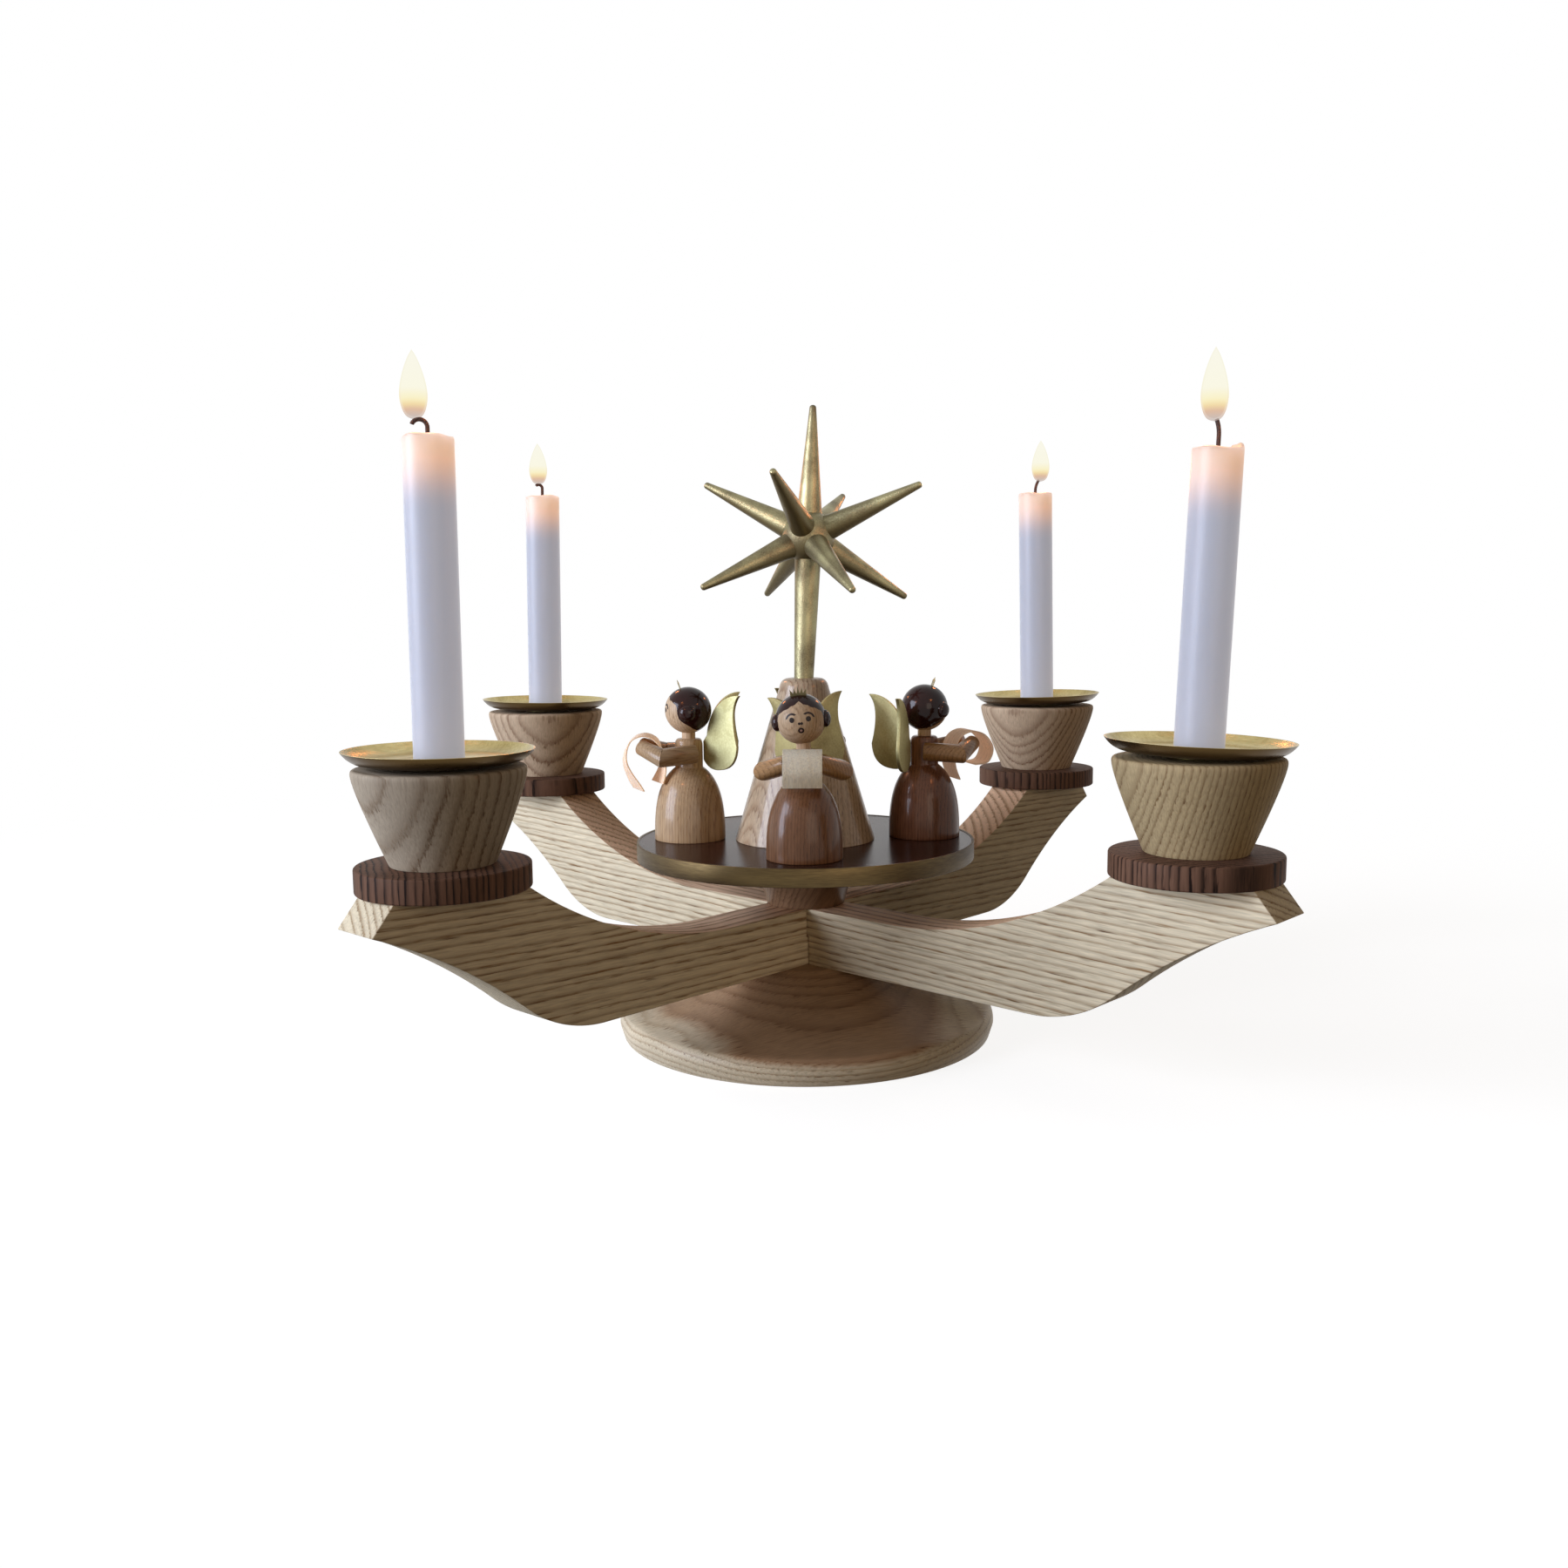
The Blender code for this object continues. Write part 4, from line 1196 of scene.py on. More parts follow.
@dataclass
class Angel:
    """One singing angel, modelled about its own axis with -Y as its front.

    Args:
        name: Where it stands on the plate.
        azimuth: Direction from the star, in degrees.
        distance: Distance from the middle of the plate.
        facing: Turn of the figure, in degrees.
        spread: Angle between a wing and the back, in degrees.
        sheet: Form of its song sheet.
        wood: Wood of the body.
        arm_wood: Wood of the arms.
        gold: Paint of the wings.
        shaving: Wood of the song sheet.
        turn: Turn of the head on the body, in degrees.
        tilt: Lean of the head and wings to one side, in degrees.
        lift: How far the wings are set too high.
        crown_turn: Turn of the crown on the head, in degrees.
        sheet_twist: How far the song sheet's ends are twisted.
        arm_radii: Radius of the upper arm, and of the forearm at the elbow and at the hand.
        arm_path: Places of shoulder, elbow and hand on the left side.
        wing_curves: Control point and end of each curve of a wing's rim, as a reach and a height.
        hairline: Angle from the face, and how far down from the crown the hair reaches there, in degrees.
        crown_heights: Height of a crown's notches and of its middle point.
    """

    name: str
    azimuth: float
    distance: float
    facing: float
    spread: float
    sheet: Sheet
    wood: Wood
    arm_wood: Wood
    gold: Metal
    shaving: Wood
    turn: float = 0.0
    tilt: float = 0.0
    lift: float = 0.0
    crown_turn: float = 0.0
    sheet_twist: float = 0.0
    floor: float = 0.06945
    skirt_radius: float = 0.0127
    skirt_crown: float = 0.0276
    skirt_fullness: float = 2.8
    waist: float = 0.0260
    torso_radius: float = 0.0050
    shoulder: float = 0.0363
    neck_radius: float = 0.0024
    neck_sunk: float = 0.0010
    head_radius: float = 0.0083
    head_height: float = 0.0464
    bun_radius: float = 0.0029
    bun_thickness: float = 0.0019
    bun_inset: float = 0.0004
    bun_height: float = 0.0458
    arm_radii: Triple = (0.0033, 0.0033, 0.0027)
    arm_path: tuple = ((0.0074, -0.0005, 0.0310), (0.0120, -0.0090, 0.0305), (0.0046, -0.0168, 0.0336))
    arm_sunk: float = 0.0032
    arm_waste: float = 0.0060
    wing_thickness: float = 0.0012
    wing_gap: float = 0.0001
    back_height: float = 0.0520
    wing_spine: Pair = (0.0285, 0.0352)
    wing_curves: tuple = (
        ((0.0030, 0.0246), (0.0080, 0.0252)),
        ((0.0165, 0.0258), (0.0170, 0.0340)),
        ((0.0146, 0.0420), (0.0156, 0.0470)),
        ((0.0162, 0.0500), (0.0183, 0.0520)),
        ((0.0113, 0.0523), (0.0061, 0.0468)),
        ((0.0022, 0.0423), (0.0019, 0.0373)),
    )
    sheet_width: float = 0.0125
    sheet_thickness: float = 0.0005
    hairline: tuple = (
        *((0.0, 43.0), (6.0, 47.0), (12.0, 53.0), (18.0, 54.5), (24.0, 56.0), (30.0, 61.5)),
        *((36.0, 63.5), (42.0, 64.5), (50.0, 70.0), (56.0, 72.0), (62.0, 77.0), (64.0, 92.0)),
        *((66.0, 108.0), (76.0, 118.0), (90.0, 127.0), (110.0, 140.0), (140.0, 150.0), (180.0, 152.0)),
    )
    hair_blur: float = 10.0
    crown_points: int = 5
    crown_width: float = 0.0054
    crown_heights: Pair = (0.0011, 0.0034)
    crown_thickness: float = 0.00022
    crown_tilt: float = 20.0
    crown_sunk: float = 0.0003
    place: Matrix = field(init=False)
    nape: Matrix = field(init=False)
    back: Matrix = field(init=False)

    def __post_init__(self) -> None:
        """Works out where the figure stands, which way it looks and how head and wings are set on it."""
        angle = math.radians(self.azimuth)
        x, y = self.distance * math.cos(angle), self.distance * math.sin(angle)
        self.place = Matrix.Translation((x, y, self.floor)) @ spun(self.facing, "Z")
        tilt = spun(self.tilt, "Y")
        self.nape = self.place @ Matrix.Translation((0.0, 0.0, self.shoulder)) @ spun(self.turn, "Z") @ tilt
        self.back = self.place @ Matrix.Translation((0.0, 0.0, self.back_height + self.lift)) @ tilt

    def build(self) -> None:
        """Models and dresses every piece of the figure."""
        label = f"angel_{self.name}"
        level = self.place.to_3x3().inverted() @ Vector((0.98, -0.2, 0.0))
        wood = self.wood.material(label, self.grain(UP, tuple(level), pith=70.0))
        arm_grain = self.grain((0.3, -0.9, 0.1), (0.9, 0.3, 0.2), pith=80.0)
        arm_wood = self.arm_wood.material(label + "_arms", arm_grain)
        body = self.body(f"{label}_body_fine")
        dress(placed(body, self.place), STAND, "beech", wood, f"{label}_body")
        for hand, side in (("right", -1.0), ("left", 1.0)):
            arm = self.arm(f"{label}_arm_{hand}_fine", side)
            dress(placed(arm, self.place), STAND, "beech", arm_wood, f"{label}_arm_{hand}")
        head = self.head(f"{label}_head_fine")
        centre = self.nape @ Matrix.Translation((0.0, 0.0, self.head_height - self.shoulder))
        paint = HeadPaint().material(label, centre)
        dress(placed(head, self.nape), STAND, "painted_head", paint, f"{label}_head")
        wings = joined(f"{label}_wings_fine", self.wing("wing_a", -1.0), self.wing("wing_b", 1.0))
        dress(placed(wings, self.back), STAND, "gold_wood", self.gold.material(label), f"{label}_wings")
        strip = self.song_sheet(f"{label}_scroll_fine")
        sheet_grain = self.grain((0.05, -0.5, 0.86), (0.9, 0.3, 0.1), pith=90.0)
        shaving = self.shaving.material(label, sheet_grain)
        dress(placed(strip, self.place), STAND, "shaving", shaving, f"{label}_scroll")
        crown = self.crown(f"{label}_crown")
        place = self.nape @ spun(self.crown_turn, "Z")
        dress(placed(crown, place), STAND, "gold_wood", GOLD_PAINT.material(label + "_crown"))

    def grain(self, along: Triple, across: Triple, pith: float) -> Grain:
        """Returns a grain in the figure's own directions."""
        turn = self.place.to_3x3()
        origin = self.place @ Vector((0.0, 0.0, 0.02))
        return Grain(tuple(origin), tuple(turn @ Vector(along)), tuple(turn @ Vector(across)), pith)

    def skirt(self, height: float) -> float:
        """Returns the skirt's radius at this height."""
        return self.skirt_radius * math.sqrt(1.0 - (height / self.skirt_crown) ** self.skirt_fullness)

    def body(self, name: str) -> Solid:
        """Turns skirt, waist and shoulders in one."""
        inner = (self.torso_radius * 0.72, self.shoulder)
        profile = [(0.0, self.shoulder), inner]
        corner = (self.torso_radius, self.shoulder)
        profile += curve(inner, corner, (self.torso_radius, self.shoulder * 0.92), 8)
        heights = [self.waist * (1.0 - (i / 24.0) ** 1.3) for i in range(25)]
        profile += [(self.skirt(height), height) for height in heights]
        profile.append((0.0, 0.0))
        return turned(name, profile, steps=96, edge=0.3 * MM)

    def arm(self, name: str, side: float) -> Solid:
        """Cuts upper arm and forearm on the mitre at the elbow and glues them together.

        Args:
            name: Name of the arm.
            side: -1 for the right arm and 1 for the left one.

        Returns:
            The arm.
        """
        shoulder, elbow, hand = [Vector((side * x, y, z)) for x, y, z in self.arm_path]
        before = (elbow - shoulder).normalized()
        after = (hand - elbow).normalized()
        mitre = (before + after).normalized()
        upper, fore, wrist = self.arm_radii
        root = fore + (fore - wrist) * self.arm_waste / (hand - elbow).length
        inner = shoulder - before * self.arm_sunk
        rods = (
            (inner, elbow + before * self.arm_waste, upper, upper, False),
            (elbow - after * self.arm_waste, hand, root, wrist, True),
        )
        halves = []
        for low, high, first, last, beyond in rods:
            rod = added(
                bpy.ops.mesh.primitive_cone_add,
                vertices=48,
                radius1=first,
                radius2=last,
                depth=(high - low).length,
                location=(low + high) / 2.0,
                rotation=(high - low).to_track_quat("Z", "Y").to_euler(),
            )
            bpy.ops.object.mode_set(mode="EDIT")
            bpy.ops.mesh.select_all(action="SELECT")
            bpy.ops.mesh.bisect(
                plane_co=elbow, plane_no=mitre, use_fill=True, clear_inner=beyond, clear_outer=not beyond
            )
            halves.append(eased(closed(rod), width=0.25 * MM))
        return joined(name, *halves)

    def head(self, name: str) -> Solid:
        """Turns head and neck, adds the buns and marks where the hair is painted."""
        neck = math.degrees(math.acos(self.neck_radius / self.head_radius))
        centre = Vector((0.0, 0.0, self.head_height - self.shoulder))
        ball = arc((0.0, centre.z), self.head_radius, 90.0, -neck, 90)
        profile = [(0.0, ball[0][1])] + ball[1:]
        profile += [(self.neck_radius, -self.neck_sunk), (0.0, -self.neck_sunk)]
        head = turned(name, profile, steps=144)
        values = []
        for vertex in head.data.vertices:
            out = vertex.co - centre
            round_angle = math.degrees(math.atan2(abs(out.x), -out.y))
            down = math.degrees(math.acos(max(-1.0, min(1.0, out.z / out.length))))
            edge = self.edge_of_hair(round_angle)
            on_ball = out.length < self.head_radius * 1.02
            values.append(max(-1.0, min(1.0, (edge - down) / self.hair_blur)) if on_ball else -1.0)
        self.mark(head, values)
        parts = [head]
        for side in (-1.0, 1.0):
            bun = added(
                bpy.ops.mesh.primitive_uv_sphere_add,
                segments=40,
                ring_count=20,
                radius=self.bun_radius,
                scale=(1.0, 1.0, self.bun_thickness / self.bun_radius),
                rotation=(0.0, math.pi / 2.0, 0.0),
                location=(side * (self.head_radius - self.bun_inset), 0.0, self.bun_height - self.shoulder),
            )
            bpy.ops.object.shade_smooth()
            self.mark(bun, [1.0] * len(bun.data.vertices))
            parts.append(bun)
        return joined(name, *parts)

    def edge_of_hair(self, angle: float) -> float:
        """Returns how far down from the crown the hair reaches, at this angle from the face."""
        for (a, low), (b, high) in zip(self.hairline, self.hairline[1:]):
            if angle <= b:
                return low + (high - low) * (angle - a) / (b - a)
        return self.hairline[-1][1]

    @staticmethod
    def mark(piece: Solid, values: list[float]) -> None:
        """Stores on the mesh where the hair is: above 0 is hair."""
        piece.data.attributes.new("hair", "FLOAT", "POINT").data.foreach_set("value", values)

    def wing(self, name: str, side: float) -> Solid:
        """Saws one wing and sets it at its angle against the back.

        Args:
            name: Name of the wing.
            side: -1 for the right wing and 1 for the left one.

        Returns:
            The wing.
        """
        low, high = self.wing_spine
        start = (0.0, low)
        rim = [start]
        for control, end in self.wing_curves:
            rim += curve(start, control, end, 10)
            start = end
        rim.append((0.0, high))
        outline = [(reach, 0.0, height - self.back_height) for reach, height in rim]
        wing = cut_out(name, outline, (0.0, self.wing_thickness, 0.0), edge=0.28 * MM)
        mirror = Matrix.Diagonal((side, 1.0, 1.0, 1.0))
        back = Matrix.Translation((0.0, self.torso_radius + self.wing_gap, 0.0))
        placed(wing, back @ mirror @ spun(90.0 - self.spread, "Z"))
        bpy.ops.object.mode_set(mode="EDIT")
        return closed(wing)

    def song_sheet(self, name: str) -> Solid:
        """Bends the shaving over the hands and twists its ends."""
        points = [(ahead * MM, height * MM) for ahead, height in self.sheet.value]
        side = self.sheet_width / 2.0
        strip = drawn(name, [(-side, -ahead, height) for ahead, height in through(points, 8)])
        bpy.ops.mesh.extrude_region_move(TRANSFORM_OT_translate={"value": (2.0 * side, 0.0, 0.0)})
        closed(strip)
        low, high = points[0][1], points[3][1]
        for vertex in strip.data.vertices:
            below = max(0.0, high - vertex.co.z) / (high - low)
            vertex.co.y += vertex.co.x * self.sheet_twist * min(1.0, below)
        shaped(strip, "SOLIDIFY", thickness=self.sheet_thickness, offset=0.0)
        return eased(strip, width=0.08 * MM, angle=50.0)

    def crown(self, name: str) -> Solid:
        """Snips a zigzag crown from thin gold sheet and stands it on the front of the hair."""
        width, (low, high) = self.crown_width, self.crown_heights
        step = width / self.crown_points
        rim = [(-width / 2.0, 0.0, 0.0)]
        for i in range(self.crown_points):
            middle = step * (i + 0.5) - width / 2.0
            tall = high * (1.0 - 0.7 * abs(middle) / width)
            notch = 0.42 * step
            rim += [(middle - notch, 0.0, low), (middle * 1.25, 0.0, tall), (middle + notch, 0.0, low)]
        rim.append((width / 2.0, 0.0, 0.0))
        sheet = cut_out(name, rim, (0.0, self.crown_thickness, 0.0), edge=0.0)
        centre = Matrix.Translation((0.0, 0.0, self.head_height - self.shoulder))
        top = Matrix.Translation((0.0, 0.0, self.head_radius - self.crown_sunk))
        return placed(sheet, centre @ spun(self.crown_tilt, "X") @ top)


@dataclass
class Station:
    """What stands on one arm's end: disc and cup, and the loose brass pan with its burning candle.

    Args:
        name: The arm that it stands on.
        azimuth: Direction of the arm, in degrees.
        lean: Lean of the pan and candle, in degrees.
        candle_top: Height of the candle over the cup.
        wick: Rise of the wick, radius of its bend, and the bend and its direction in degrees.
        flame_offset: Place of the flame beside and over the candle's middle.
        grain_azimuth: Direction across the cup's growth rings, in degrees.
        grain_tilt: Lean of the cup's fibres, in degrees.
        wood: Wood of the cup.
        wax_lip: Height of the lip that the wax has on one side.
        melt_waves: Heights of the two waves in the candle's melted edge.
        flame_outline: Shares of the flame's radius and of its height.
        flame_layers: Each layer's name, its share of the width, and the shares of the height where it starts
            and ends.
    """

    name: str
    azimuth: float
    lean: float
    candle_top: float
    wick: tuple[float, float, float, float]
    flame_offset: Pair
    grain_azimuth: float
    grain_tilt: float
    wood: Wood
    wax_lip: float = 0.0
    circle: float = 0.1505
    arm_top: float = 0.0746
    disc_radius: float = 0.02445
    disc_top: float = 0.0818
    cup_foot_radius: float = 0.0147
    cup_radius: float = 0.0240
    cup_top: float = 0.1090
    cup_rounding: float = 0.0012
    cup_flare: float = 0.42
    bore: float = 0.0089
    bore_depth: float = 0.0146
    rim_radius: float = 0.0265
    rim_height: float = 0.0049
    floor_radius: float = 0.0200
    pan_lift: float = 0.0011
    pan_wall: float = 0.0008
    socket_radius: float = 0.0073
    socket_depth: float = 0.0140
    candle_radius: float = 0.0070
    candle_gap: float = 0.0003
    candle_rounding: float = 0.0009
    pool_depth: float = 0.0010
    melt_depth: float = 0.0020
    melt_waves: Pair = (0.00022, 0.00012)
    wax_lip_width: float = 0.35
    wick_radius: float = 0.0006
    wick_sunk: float = 0.0030
    flame_radius: float = 0.0037
    flame_top: float = 0.2213
    flame_outline: tuple = (
        *((0.0, 0.0), (0.52, 0.04), (0.84, 0.15), (1.0, 0.32)),
        *((0.93, 0.5), (0.68, 0.7), (0.34, 0.88), (0.0, 1.0)),
    )
    flame_layers: tuple = (("veil", 1.0, 0.0, 1.0), ("heart", 0.88, 0.04, 0.97))
    flame_light: str = "#FF9450"
    flame_power: float = 0.15
    flame_glow: float = 0.009
    place: Matrix = field(init=False)
    seat: Matrix = field(init=False)

    def __post_init__(self) -> None:
        """Works out the station's place and the lean of its loose pieces."""
        angle = math.radians(self.azimuth)
        x, y = self.circle * math.cos(angle), self.circle * math.sin(angle)
        self.place = Matrix.Translation((x, y, 0.0))
        self.seat = Matrix.Translation((x, y, self.cup_top)) @ spun(self.lean, "Y")

    def build(self) -> None:
        """Models and dresses the station from the arm up."""
        self.disc()
        self.cup()
        self.pan()
        self.candle()
        self.burning_wick()
        self.flame()

    @staticmethod
    def across(azimuth: float) -> Triple:
        """Returns a level direction at this azimuth in degrees."""
        return math.cos(math.radians(azimuth)), math.sin(math.radians(azimuth)), 0.0

    def disc(self) -> None:
        """Turns the dark disc."""
        edge = (self.disc_radius, self.arm_top)
        profile = [(0.0, self.disc_top), (self.disc_radius, self.disc_top), edge, (0.0, self.arm_top)]
        piece = turned("cup_disc_" + self.name + "_fine", profile, steps=112, edge=0.6 * MM)
        placed(piece, self.place)
        grain = Grain(tuple(self.place.translation), UP, self.across(self.azimuth + 152.0), pith=400.0)
        dress(piece, STAND, "walnut", WALNUT.material(self.name, grain), "cup_disc_" + self.name)

    def cup(self) -> None:
        """Turns the flared cup with its bore."""
        floor = self.cup_top - self.bore_depth
        lip = (self.cup_radius - self.cup_rounding, self.cup_top)
        shoulder = (self.cup_radius, self.cup_top - self.cup_rounding)
        heel = (self.cup_foot_radius, self.disc_top)
        flare = (self.cup_radius, self.disc_top + (self.cup_radius - self.cup_foot_radius) / self.cup_flare)
        profile = [(0.0, floor), (self.bore, floor), (self.bore, self.cup_top), lip]
        profile += curve(lip, (self.cup_radius, self.cup_top), shoulder, 6)
        profile += curve(shoulder, flare, heel, 24) + [(0.0, self.disc_top)]
        piece = turned("candle_cup_" + self.name + "_fine", profile, steps=112, edge=0.25 * MM)
        placed(piece, self.place)
        tilt = math.radians(self.grain_tilt)
        x, y, _ = self.across(self.grain_azimuth)
        along = (x * math.sin(tilt), y * math.sin(tilt), math.cos(tilt))
        origin = self.place @ Vector((0.0, 0.0, 0.095))
        grain = Grain(tuple(origin), along, (x, y, 0.0), pith=46.0)
        dress(piece, STAND, "ash", self.wood.material("cup_" + self.name, grain), "candle_cup_" + self.name)

    def pan(self) -> None:
        """Spins the brass pan with the socket that hangs in the cup."""
        under, floor = self.pan_lift, self.pan_lift + self.pan_wall
        rim = (self.rim_radius, self.rim_height)
        bend = self.floor_radius + (self.rim_radius - self.floor_radius) * 0.6
        outer = curve((self.floor_radius, under), (bend, under), rim, 14)
        inside = (self.rim_radius - self.pan_wall * 0.7, self.rim_height)
        inner = curve((self.floor_radius, floor), (bend, floor), inside, 14)
        wide = self.socket_radius + self.pan_wall
        end = -self.socket_depth
        inside_end = end + self.pan_wall
        profile = [(0.0, inside_end), (self.socket_radius, inside_end), (self.socket_radius, floor)]
        profile += [(self.floor_radius, floor)] + inner + list(reversed(outer)) + [(self.floor_radius, under)]
        profile += [(wide, under), (wide, end), (0.0, end)]
        pan = placed(turned("drip_pan_" + self.name + "_fine", profile, steps=112, edge=0.15 * MM), self.seat)
        turn = (0.0, 0.0, math.radians(self.azimuth))
        brass = BRASS.material("pan_" + self.name, stretch=(4.0, 1.0, 1.0), turn=turn)
        dress(pan, "pan_" + self.name, "brass", brass, "drip_pan_" + self.name)

    def candle(self) -> None:
        """Casts the candle, hollowed by its flame."""
        bottom = self.pan_wall + self.candle_gap - self.socket_depth
        pool = self.candle_top - self.pool_depth
        edge = (self.candle_radius, self.candle_top - self.candle_rounding)
        crest = (self.candle_radius * 0.88, self.candle_top)
        profile = [(0.0, pool)] + curve((0.0, pool), (self.candle_radius * 0.7, pool), crest, 10)
        profile += curve(crest, (self.candle_radius, self.candle_top), edge, 8)
        steps = [edge[1] - (self.candle_top - bottom) * i / 24.0 for i in range(1, 24)]
        profile += [(self.candle_radius, height) for height in steps]
        profile += [(self.candle_radius, bottom), (0.0, bottom)]
        piece = turned("candle_" + self.name + "_fine", profile, steps=80)
        for vertex in piece.data.vertices:
            if vertex.co.z > pool - self.melt_depth and vertex.co.xy.length > self.candle_radius * 0.5:
                angle = math.atan2(vertex.co.y, vertex.co.x)
                waves = (math.sin(2.0 * angle + self.azimuth), math.sin(5.0 * angle))
                vertex.co.z += sum(height * wave for height, wave in zip(self.melt_waves, waves))
                vertex.co.z += self.wax_lip * math.exp(-((angle / self.wax_lip_width) ** 2))
        placed(piece, self.seat)
        wax = Wax().material(self.name, self.seat, self.candle_top)
        dress(piece, "candle_" + self.name, "wax", wax, "candle_" + self.name)

    def burning_wick(self) -> None:
        """Bends the wick over as it burnt."""
        rise, radius, bend, direction = self.wick
        low = self.candle_top - self.pool_depth - self.wick_sunk
        turn_height = self.candle_top - self.pool_depth + rise
        yaw = math.radians(direction)
        wick = added(
            bpy.ops.mesh.primitive_circle_add,
            vertices=20,
            radius=self.wick_radius,
            fill_type="NGON",
            location=(0.0, 0.0, low),
        )
        wick.name = wick.data.name = f"wick_{self.name}_fine"
        bpy.ops.object.mode_set(mode="EDIT")
        bpy.ops.mesh.select_all(action="SELECT")
        bpy.ops.mesh.extrude_region_move(TRANSFORM_OT_translate={"value": (0.0, 0.0, turn_height - low)})
        bpy.ops.mesh.spin(
            steps=16,
            angle=-math.radians(bend),
            center=(radius * math.cos(yaw), radius * math.sin(yaw), turn_height),
            axis=(-math.sin(yaw), math.cos(yaw), 0.0),
        )
        closed(wick)
        eased(wick, width=0.2 * MM, angle=40.0)
        placed(wick, self.seat)
        dress(wick, "candle_" + self.name, "wick", Char().material(), "wick_" + self.name)

    def flame(self) -> None:
        """Shapes the flame over the wick: a veil with a heart inside it."""
        x, lift = self.flame_offset
        base = self.seat @ Vector((x, 0.0, self.candle_top + lift))
        tall = self.flame_top - base.z
        for name, width, low, high in self.flame_layers:
            size = tall * (high - low)
            profile = through([(self.flame_radius * width * r, size * h) for r, h in self.flame_outline], 6)
            profile = [(max(radius, 0.0), height) for radius, height in profile]
            piece = turned(f"flame_{name}_{self.name}", profile, steps=48)
            foot = base.z + tall * low
            placed(piece, Matrix.Translation((base.x, base.y, foot)))
            piece.visible_shadow = False
            dress(piece, "candle_" + self.name, None, Flame().material(foot, foot + size, name == "heart"))
        self.glint(base + Vector((0.0, 0.0, tall * 0.5)))

    def glint(self, place: Vector) -> None:
        """Hangs a small warm lamp in the flame that only shows as glints on brass, gold and lacquer.

        Args:
            place: Middle of the flame.
        """
        data = bpy.data.lights.new("flame_light_" + self.name, "POINT")
        data.energy = self.flame_power
        data.color = linear(self.flame_light)[:3]
        data.shadow_soft_size = self.flame_glow
        lamp = bpy.data.objects.new(data.name, data)
        lamp.location = place
        lamp.visible_camera = lamp.visible_diffuse = False
        bpy.context.scene.collection.objects.link(lamp)


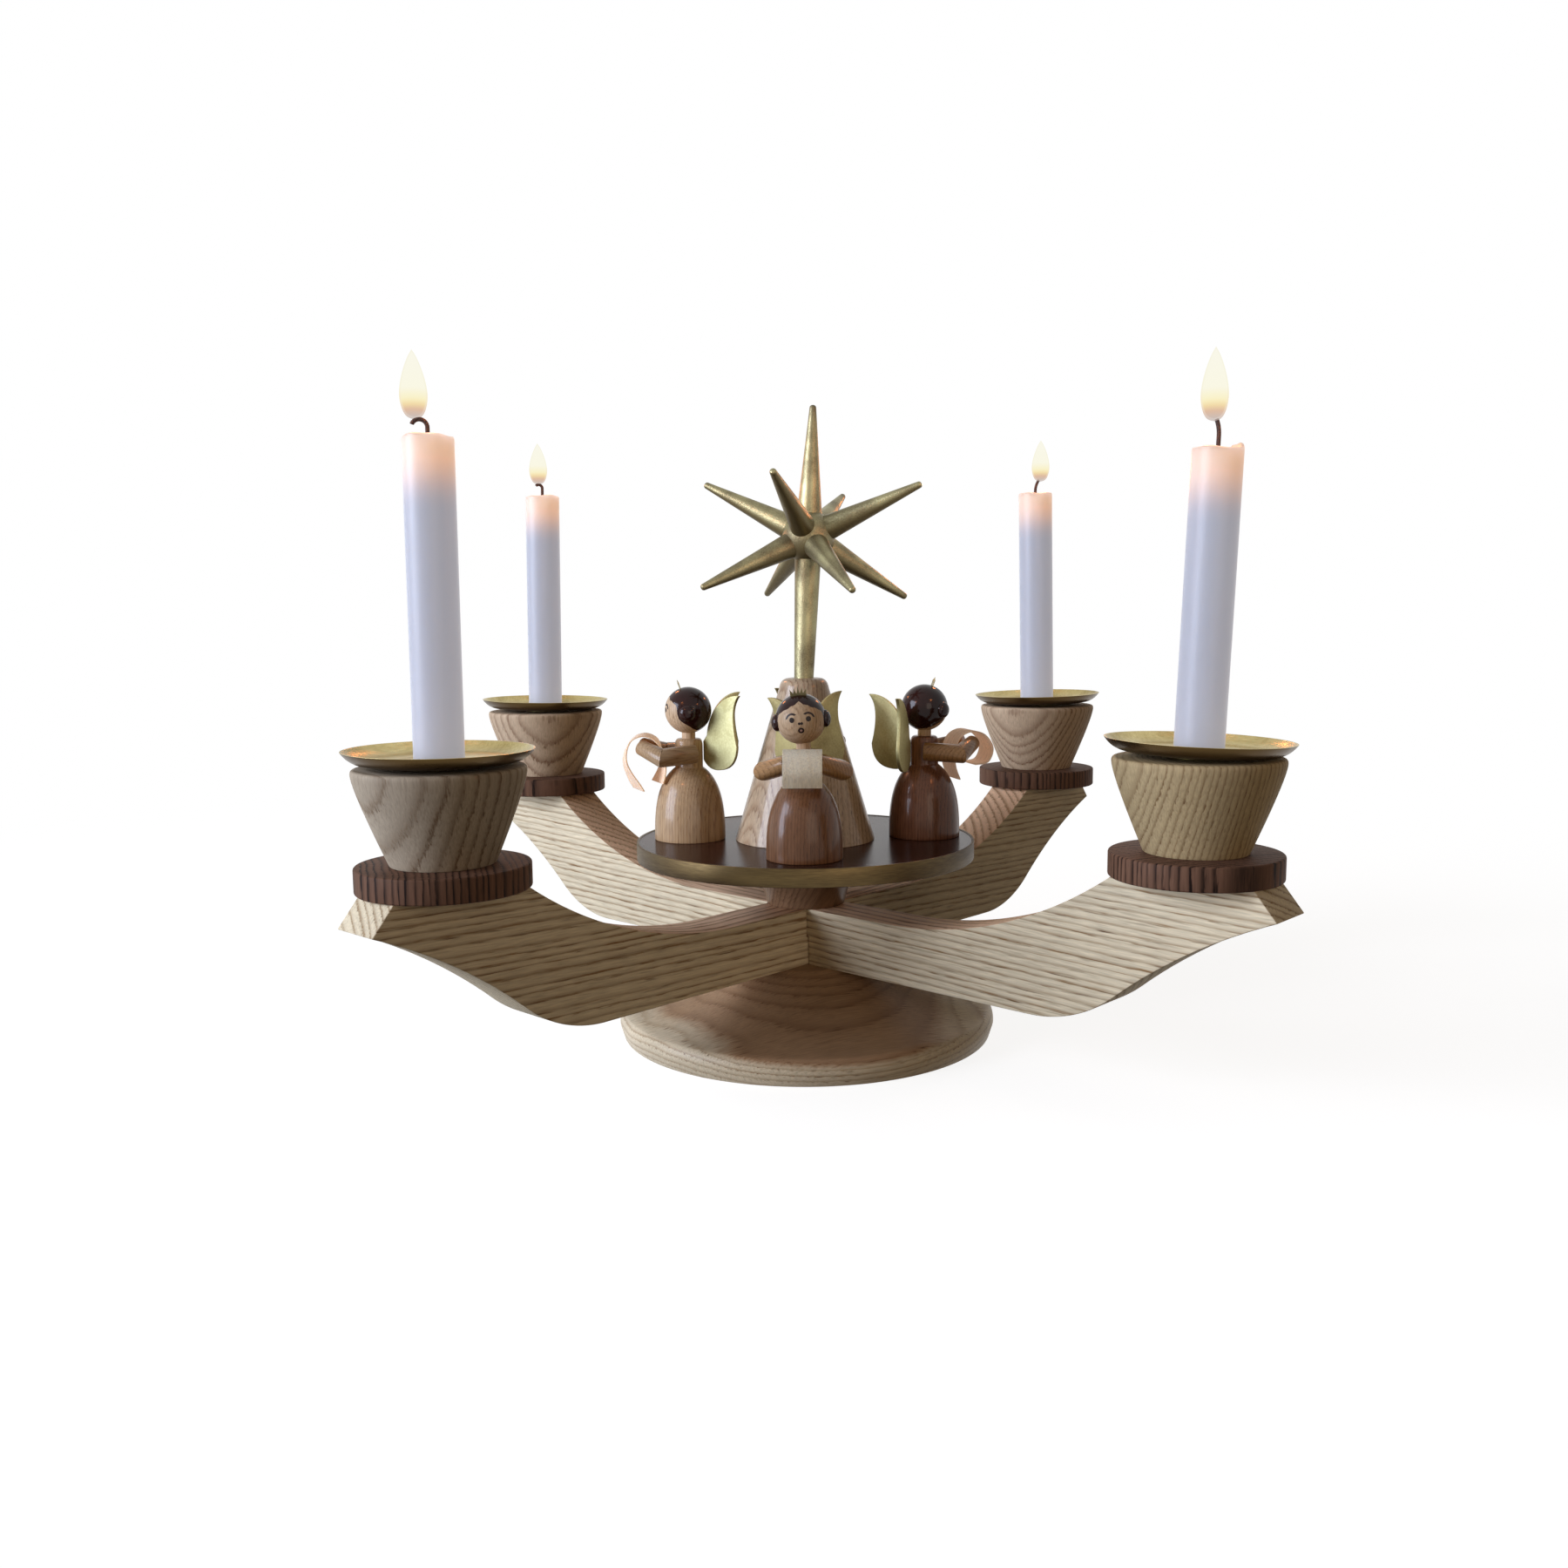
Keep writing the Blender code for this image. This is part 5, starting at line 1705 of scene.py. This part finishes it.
@dataclass
class Studio:
    """Floor, light and camera.

    Args:
        camera_place: Where the photograph was taken from.
        yaw: Turn of the camera to the right, in radians.
        pitch: Its tilt upwards, in radians.
        roll: Its turn about the line of sight, in radians.
        focal_px: Focal length, in pixels of the photograph.
        frame_px: Width of the photograph in pixels.
        aim: Where the lamps look.
        room: Colour of the light that comes from all round.
        table: Colour of the floor for the light that it throws back.
        floor_paint: Colour of the floor that the camera sees.
        floor_glow: Colour of the light that the seen floor gives off.
        floor_fade: Distances between which the seen floor turns white.
        lamps: Name, place, size, power and colour of each lamp, and whether it shows in reflections.
    """

    camera_place: Triple = (-0.0229582, -0.4899447, 0.1518707)
    yaw: float = 0.0317
    pitch: float = -0.1272
    roll: float = -0.0095
    focal_px: float = 1583.67
    frame_px: float = 1800.0
    aim: Triple = (0.0, 0.0, 0.09)
    room: str = "#453F39"
    table: str = "#3C3834"
    floor_paint: str = "#A09D98"
    floor_glow: str = "#EFEFEF"
    floor_fade: Pair = (0.12, 0.75)
    lamps: tuple = (
        ("window", (-2.30, -0.80, 0.68), 1.5, 104.0, "#DEE8FF", True),
        ("wall", (0.62, -1.66, 0.36), 1.0, 6.0, "#FFE7D0", True),
        ("lobby", (0.80, 2.00, 0.50), 1.2, 20.0, "#FFF1E2", False),
    )

    def clear(self) -> None:
        """Removes the start-up scene's own objects."""
        kept = {*frame["bodies"].values(), *frame["nodes"].values()}
        for thing in list(bpy.data.objects):
            if thing not in kept:
                bpy.data.objects.remove(thing)

    def camera(self) -> None:
        """Stands the camera where the photograph was taken from."""
        data = bpy.data.cameras.new("camera")
        data.sensor_width = 36.0
        data.lens = 36.0 * self.focal_px / self.frame_px
        data.clip_start, data.clip_end = 0.01, 100.0
        camera = bpy.data.objects.new("camera", data)
        bpy.context.scene.collection.objects.link(camera)
        turn = Matrix.Rotation(-self.yaw, 4, "Z") @ Matrix.Rotation(math.pi / 2.0 + self.pitch, 4, "X")
        roll = Matrix.Rotation(self.roll, 4, "Z")
        camera.matrix_world = Matrix.Translation(self.camera_place) @ turn @ roll
        bpy.context.scene.camera = camera

    def lamp(self, name: str, place: Triple, size: float, power: float, code: str, mirrored: bool) -> None:
        """Hangs one soft lamp that looks at the holder.

        Args:
            name: Name of the lamp.
            place: Where it hangs.
            size: Side of its square, in metres.
            power: Power in watts.
            code: Its colour.
            mirrored: Whether it shows in reflections.
        """
        data = bpy.data.lights.new(name, "AREA")
        data.size = size
        data.energy = power
        data.color = linear(code)[:3]
        lamp = bpy.data.objects.new(name, data)
        lamp.visible_glossy = mirrored
        bpy.context.scene.collection.objects.link(lamp)
        aim = (Vector(self.aim) - Vector(place)).to_track_quat("-Z", "Y")
        lamp.matrix_world = Matrix.Translation(place) @ aim.to_matrix().to_4x4()

    @staticmethod
    def seen(tree: Tree) -> Socket:
        """Returns 1 where the camera sees a thing, straight or in a reflection."""
        seen = 0.0
        for ray in ("Is Camera Ray", "Is Glossy Ray", "Is Transmission Ray"):
            seen = node(tree, "Math", {0: node(tree, "LightPath", out=ray), 1: seen}, operation="MAXIMUM")
        return seen

    def world(self) -> None:
        """Lights the room dimly and shows it white."""
        world = bpy.data.worlds.new("room")
        bpy.context.scene.world = world
        world.use_nodes = True
        tree = world.node_tree
        tree.nodes.clear()
        colour = node(
            tree,
            "Mix",
            {"Factor": self.seen(tree), "A": linear(self.room), "B": (1.0, 1.0, 1.0, 1.0)},
            data_type="RGBA",
        )
        light = node(tree, "Background", {"Color": colour, "Strength": 1.0})
        node(tree, "OutputWorld", {"Surface": light})

    def floor(self) -> None:
        """Lays a white floor that keeps a soft shadow and throws little light back."""
        floor = added(bpy.ops.mesh.primitive_plane_add, size=40.0)
        floor.name = "floor"
        material = blank("white_floor")
        tree = material.node_tree
        place = node(tree, "TexCoord", out="Object")
        away = node(tree, "VectorMath", {0: place}, operation="LENGTH")
        far = node(
            tree,
            "MapRange",
            {"Value": away, "From Min": self.floor_fade[0], "From Max": self.floor_fade[1]},
            interpolation_type="SMOOTHSTEP",
        )
        table = node(tree, "BsdfDiffuse", {"Color": linear(self.table)})
        paint = node(tree, "BsdfDiffuse", {"Color": linear(self.floor_paint)})
        glow = node(tree, "Emission", {"Color": linear(self.floor_glow), "Strength": 1.0})
        shaded = node(tree, "AddShader", {0: paint, 1: glow})
        white = node(tree, "Emission", {"Color": (1.0, 1.0, 1.0, 1.0), "Strength": 1.0})
        shown = node(tree, "MixShader", {0: far, 1: shaded, 2: white})
        mixed = node(tree, "MixShader", {0: self.seen(tree), 1: table, 2: shown})
        surface(tree, mixed)
        floor.data.materials.append(material)

    def build(self) -> None:
        """Sets up everything round the holder."""
        bpy.context.scene.view_settings.view_transform = "Standard"
        self.camera()
        self.world()
        self.floor()
        for settings in self.lamps:
            self.lamp(*settings)


def main() -> None:
    """Builds the dressed holder from the foot up."""
    logging.basicConfig(level=logging.INFO, format="%(message)s")
    studio = Studio()
    studio.clear()
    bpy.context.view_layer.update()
    studio.build()
    Foot().build()
    Cross().build()
    FigurePlate().build()
    Star().build()
    for figure in (
        Angel(
            "front", azimuth=-93.0, distance=0.0405, facing=-4.0, tilt=-5.0, spread=45.0, lift=0.0012,
            sheet=Sheet.SHORT, wood=BROWN_BEECH, arm_wood=TAN_BEECH, gold=SHADED_PALE_GOLD, shaving=SHAVING,
        ),
        Angel(
            "right", azimuth=4.0, distance=0.0435, facing=103.0, turn=35.0, spread=56.0, lift=-0.0012,
            sheet=Sheet.CURLED, wood=RED_BEECH, arm_wood=TAN_BEECH, gold=PALE_GOLD, shaving=ROSY_SHAVING,
            crown_turn=-48.0,
        ),
        Angel(
            "back", azimuth=87.7, distance=0.0422, facing=174.0, spread=32.0, lift=0.0008,
            sheet=Sheet.LONG, wood=BEECH, arm_wood=BEECH, gold=SHADED_PALE_GOLD, shaving=SHAVING,
        ),
        Angel(
            "left", azimuth=175.0, distance=0.0415, facing=-90.0, spread=45.0, sheet_twist=0.38,
            sheet=Sheet.LONG, wood=PALE_BEECH, arm_wood=PALE_BEECH, gold=PALE_GOLD, shaving=ROSY_SHAVING,
        ),
    ):
        figure.build()
    for station in (
        Station(
            "front_left", azimuth=225.0, lean=0.3, candle_top=0.0897, wick=(0.0032, 0.0021, 160.0, 190.0),
            flame_offset=(-0.0034, 0.0043), grain_azimuth=223.0, grain_tilt=4.0, wood=GREY_ASH,
        ),
        Station(
            "front_right", azimuth=315.0, lean=2.0, candle_top=0.0852, wick=(0.0044, 0.0120, 22.0, 160.0),
            flame_offset=(-0.0016, 0.0072), grain_azimuth=165.0, grain_tilt=-4.0, wood=HONEY_ASH,
            wax_lip=0.0016,
        ),
        Station(
            "back_right", azimuth=45.0, lean=-1.2, candle_top=0.0903, wick=(0.0017, 0.0080, 37.0, 10.0),
            flame_offset=(0.0022, 0.0048), grain_azimuth=239.0, grain_tilt=3.0, wood=FINE_ASH,
        ),
        Station(
            "back_left", azimuth=135.0, lean=0.9, candle_top=0.0905, wick=(0.0042, 0.0015, 140.0, 200.0),
            flame_offset=(-0.0015, 0.0048), grain_azimuth=285.0, grain_tilt=5.0, wood=ROSY_ASH,
        ),
    ):
        station.build()


if __name__ == "__main__":
    main()
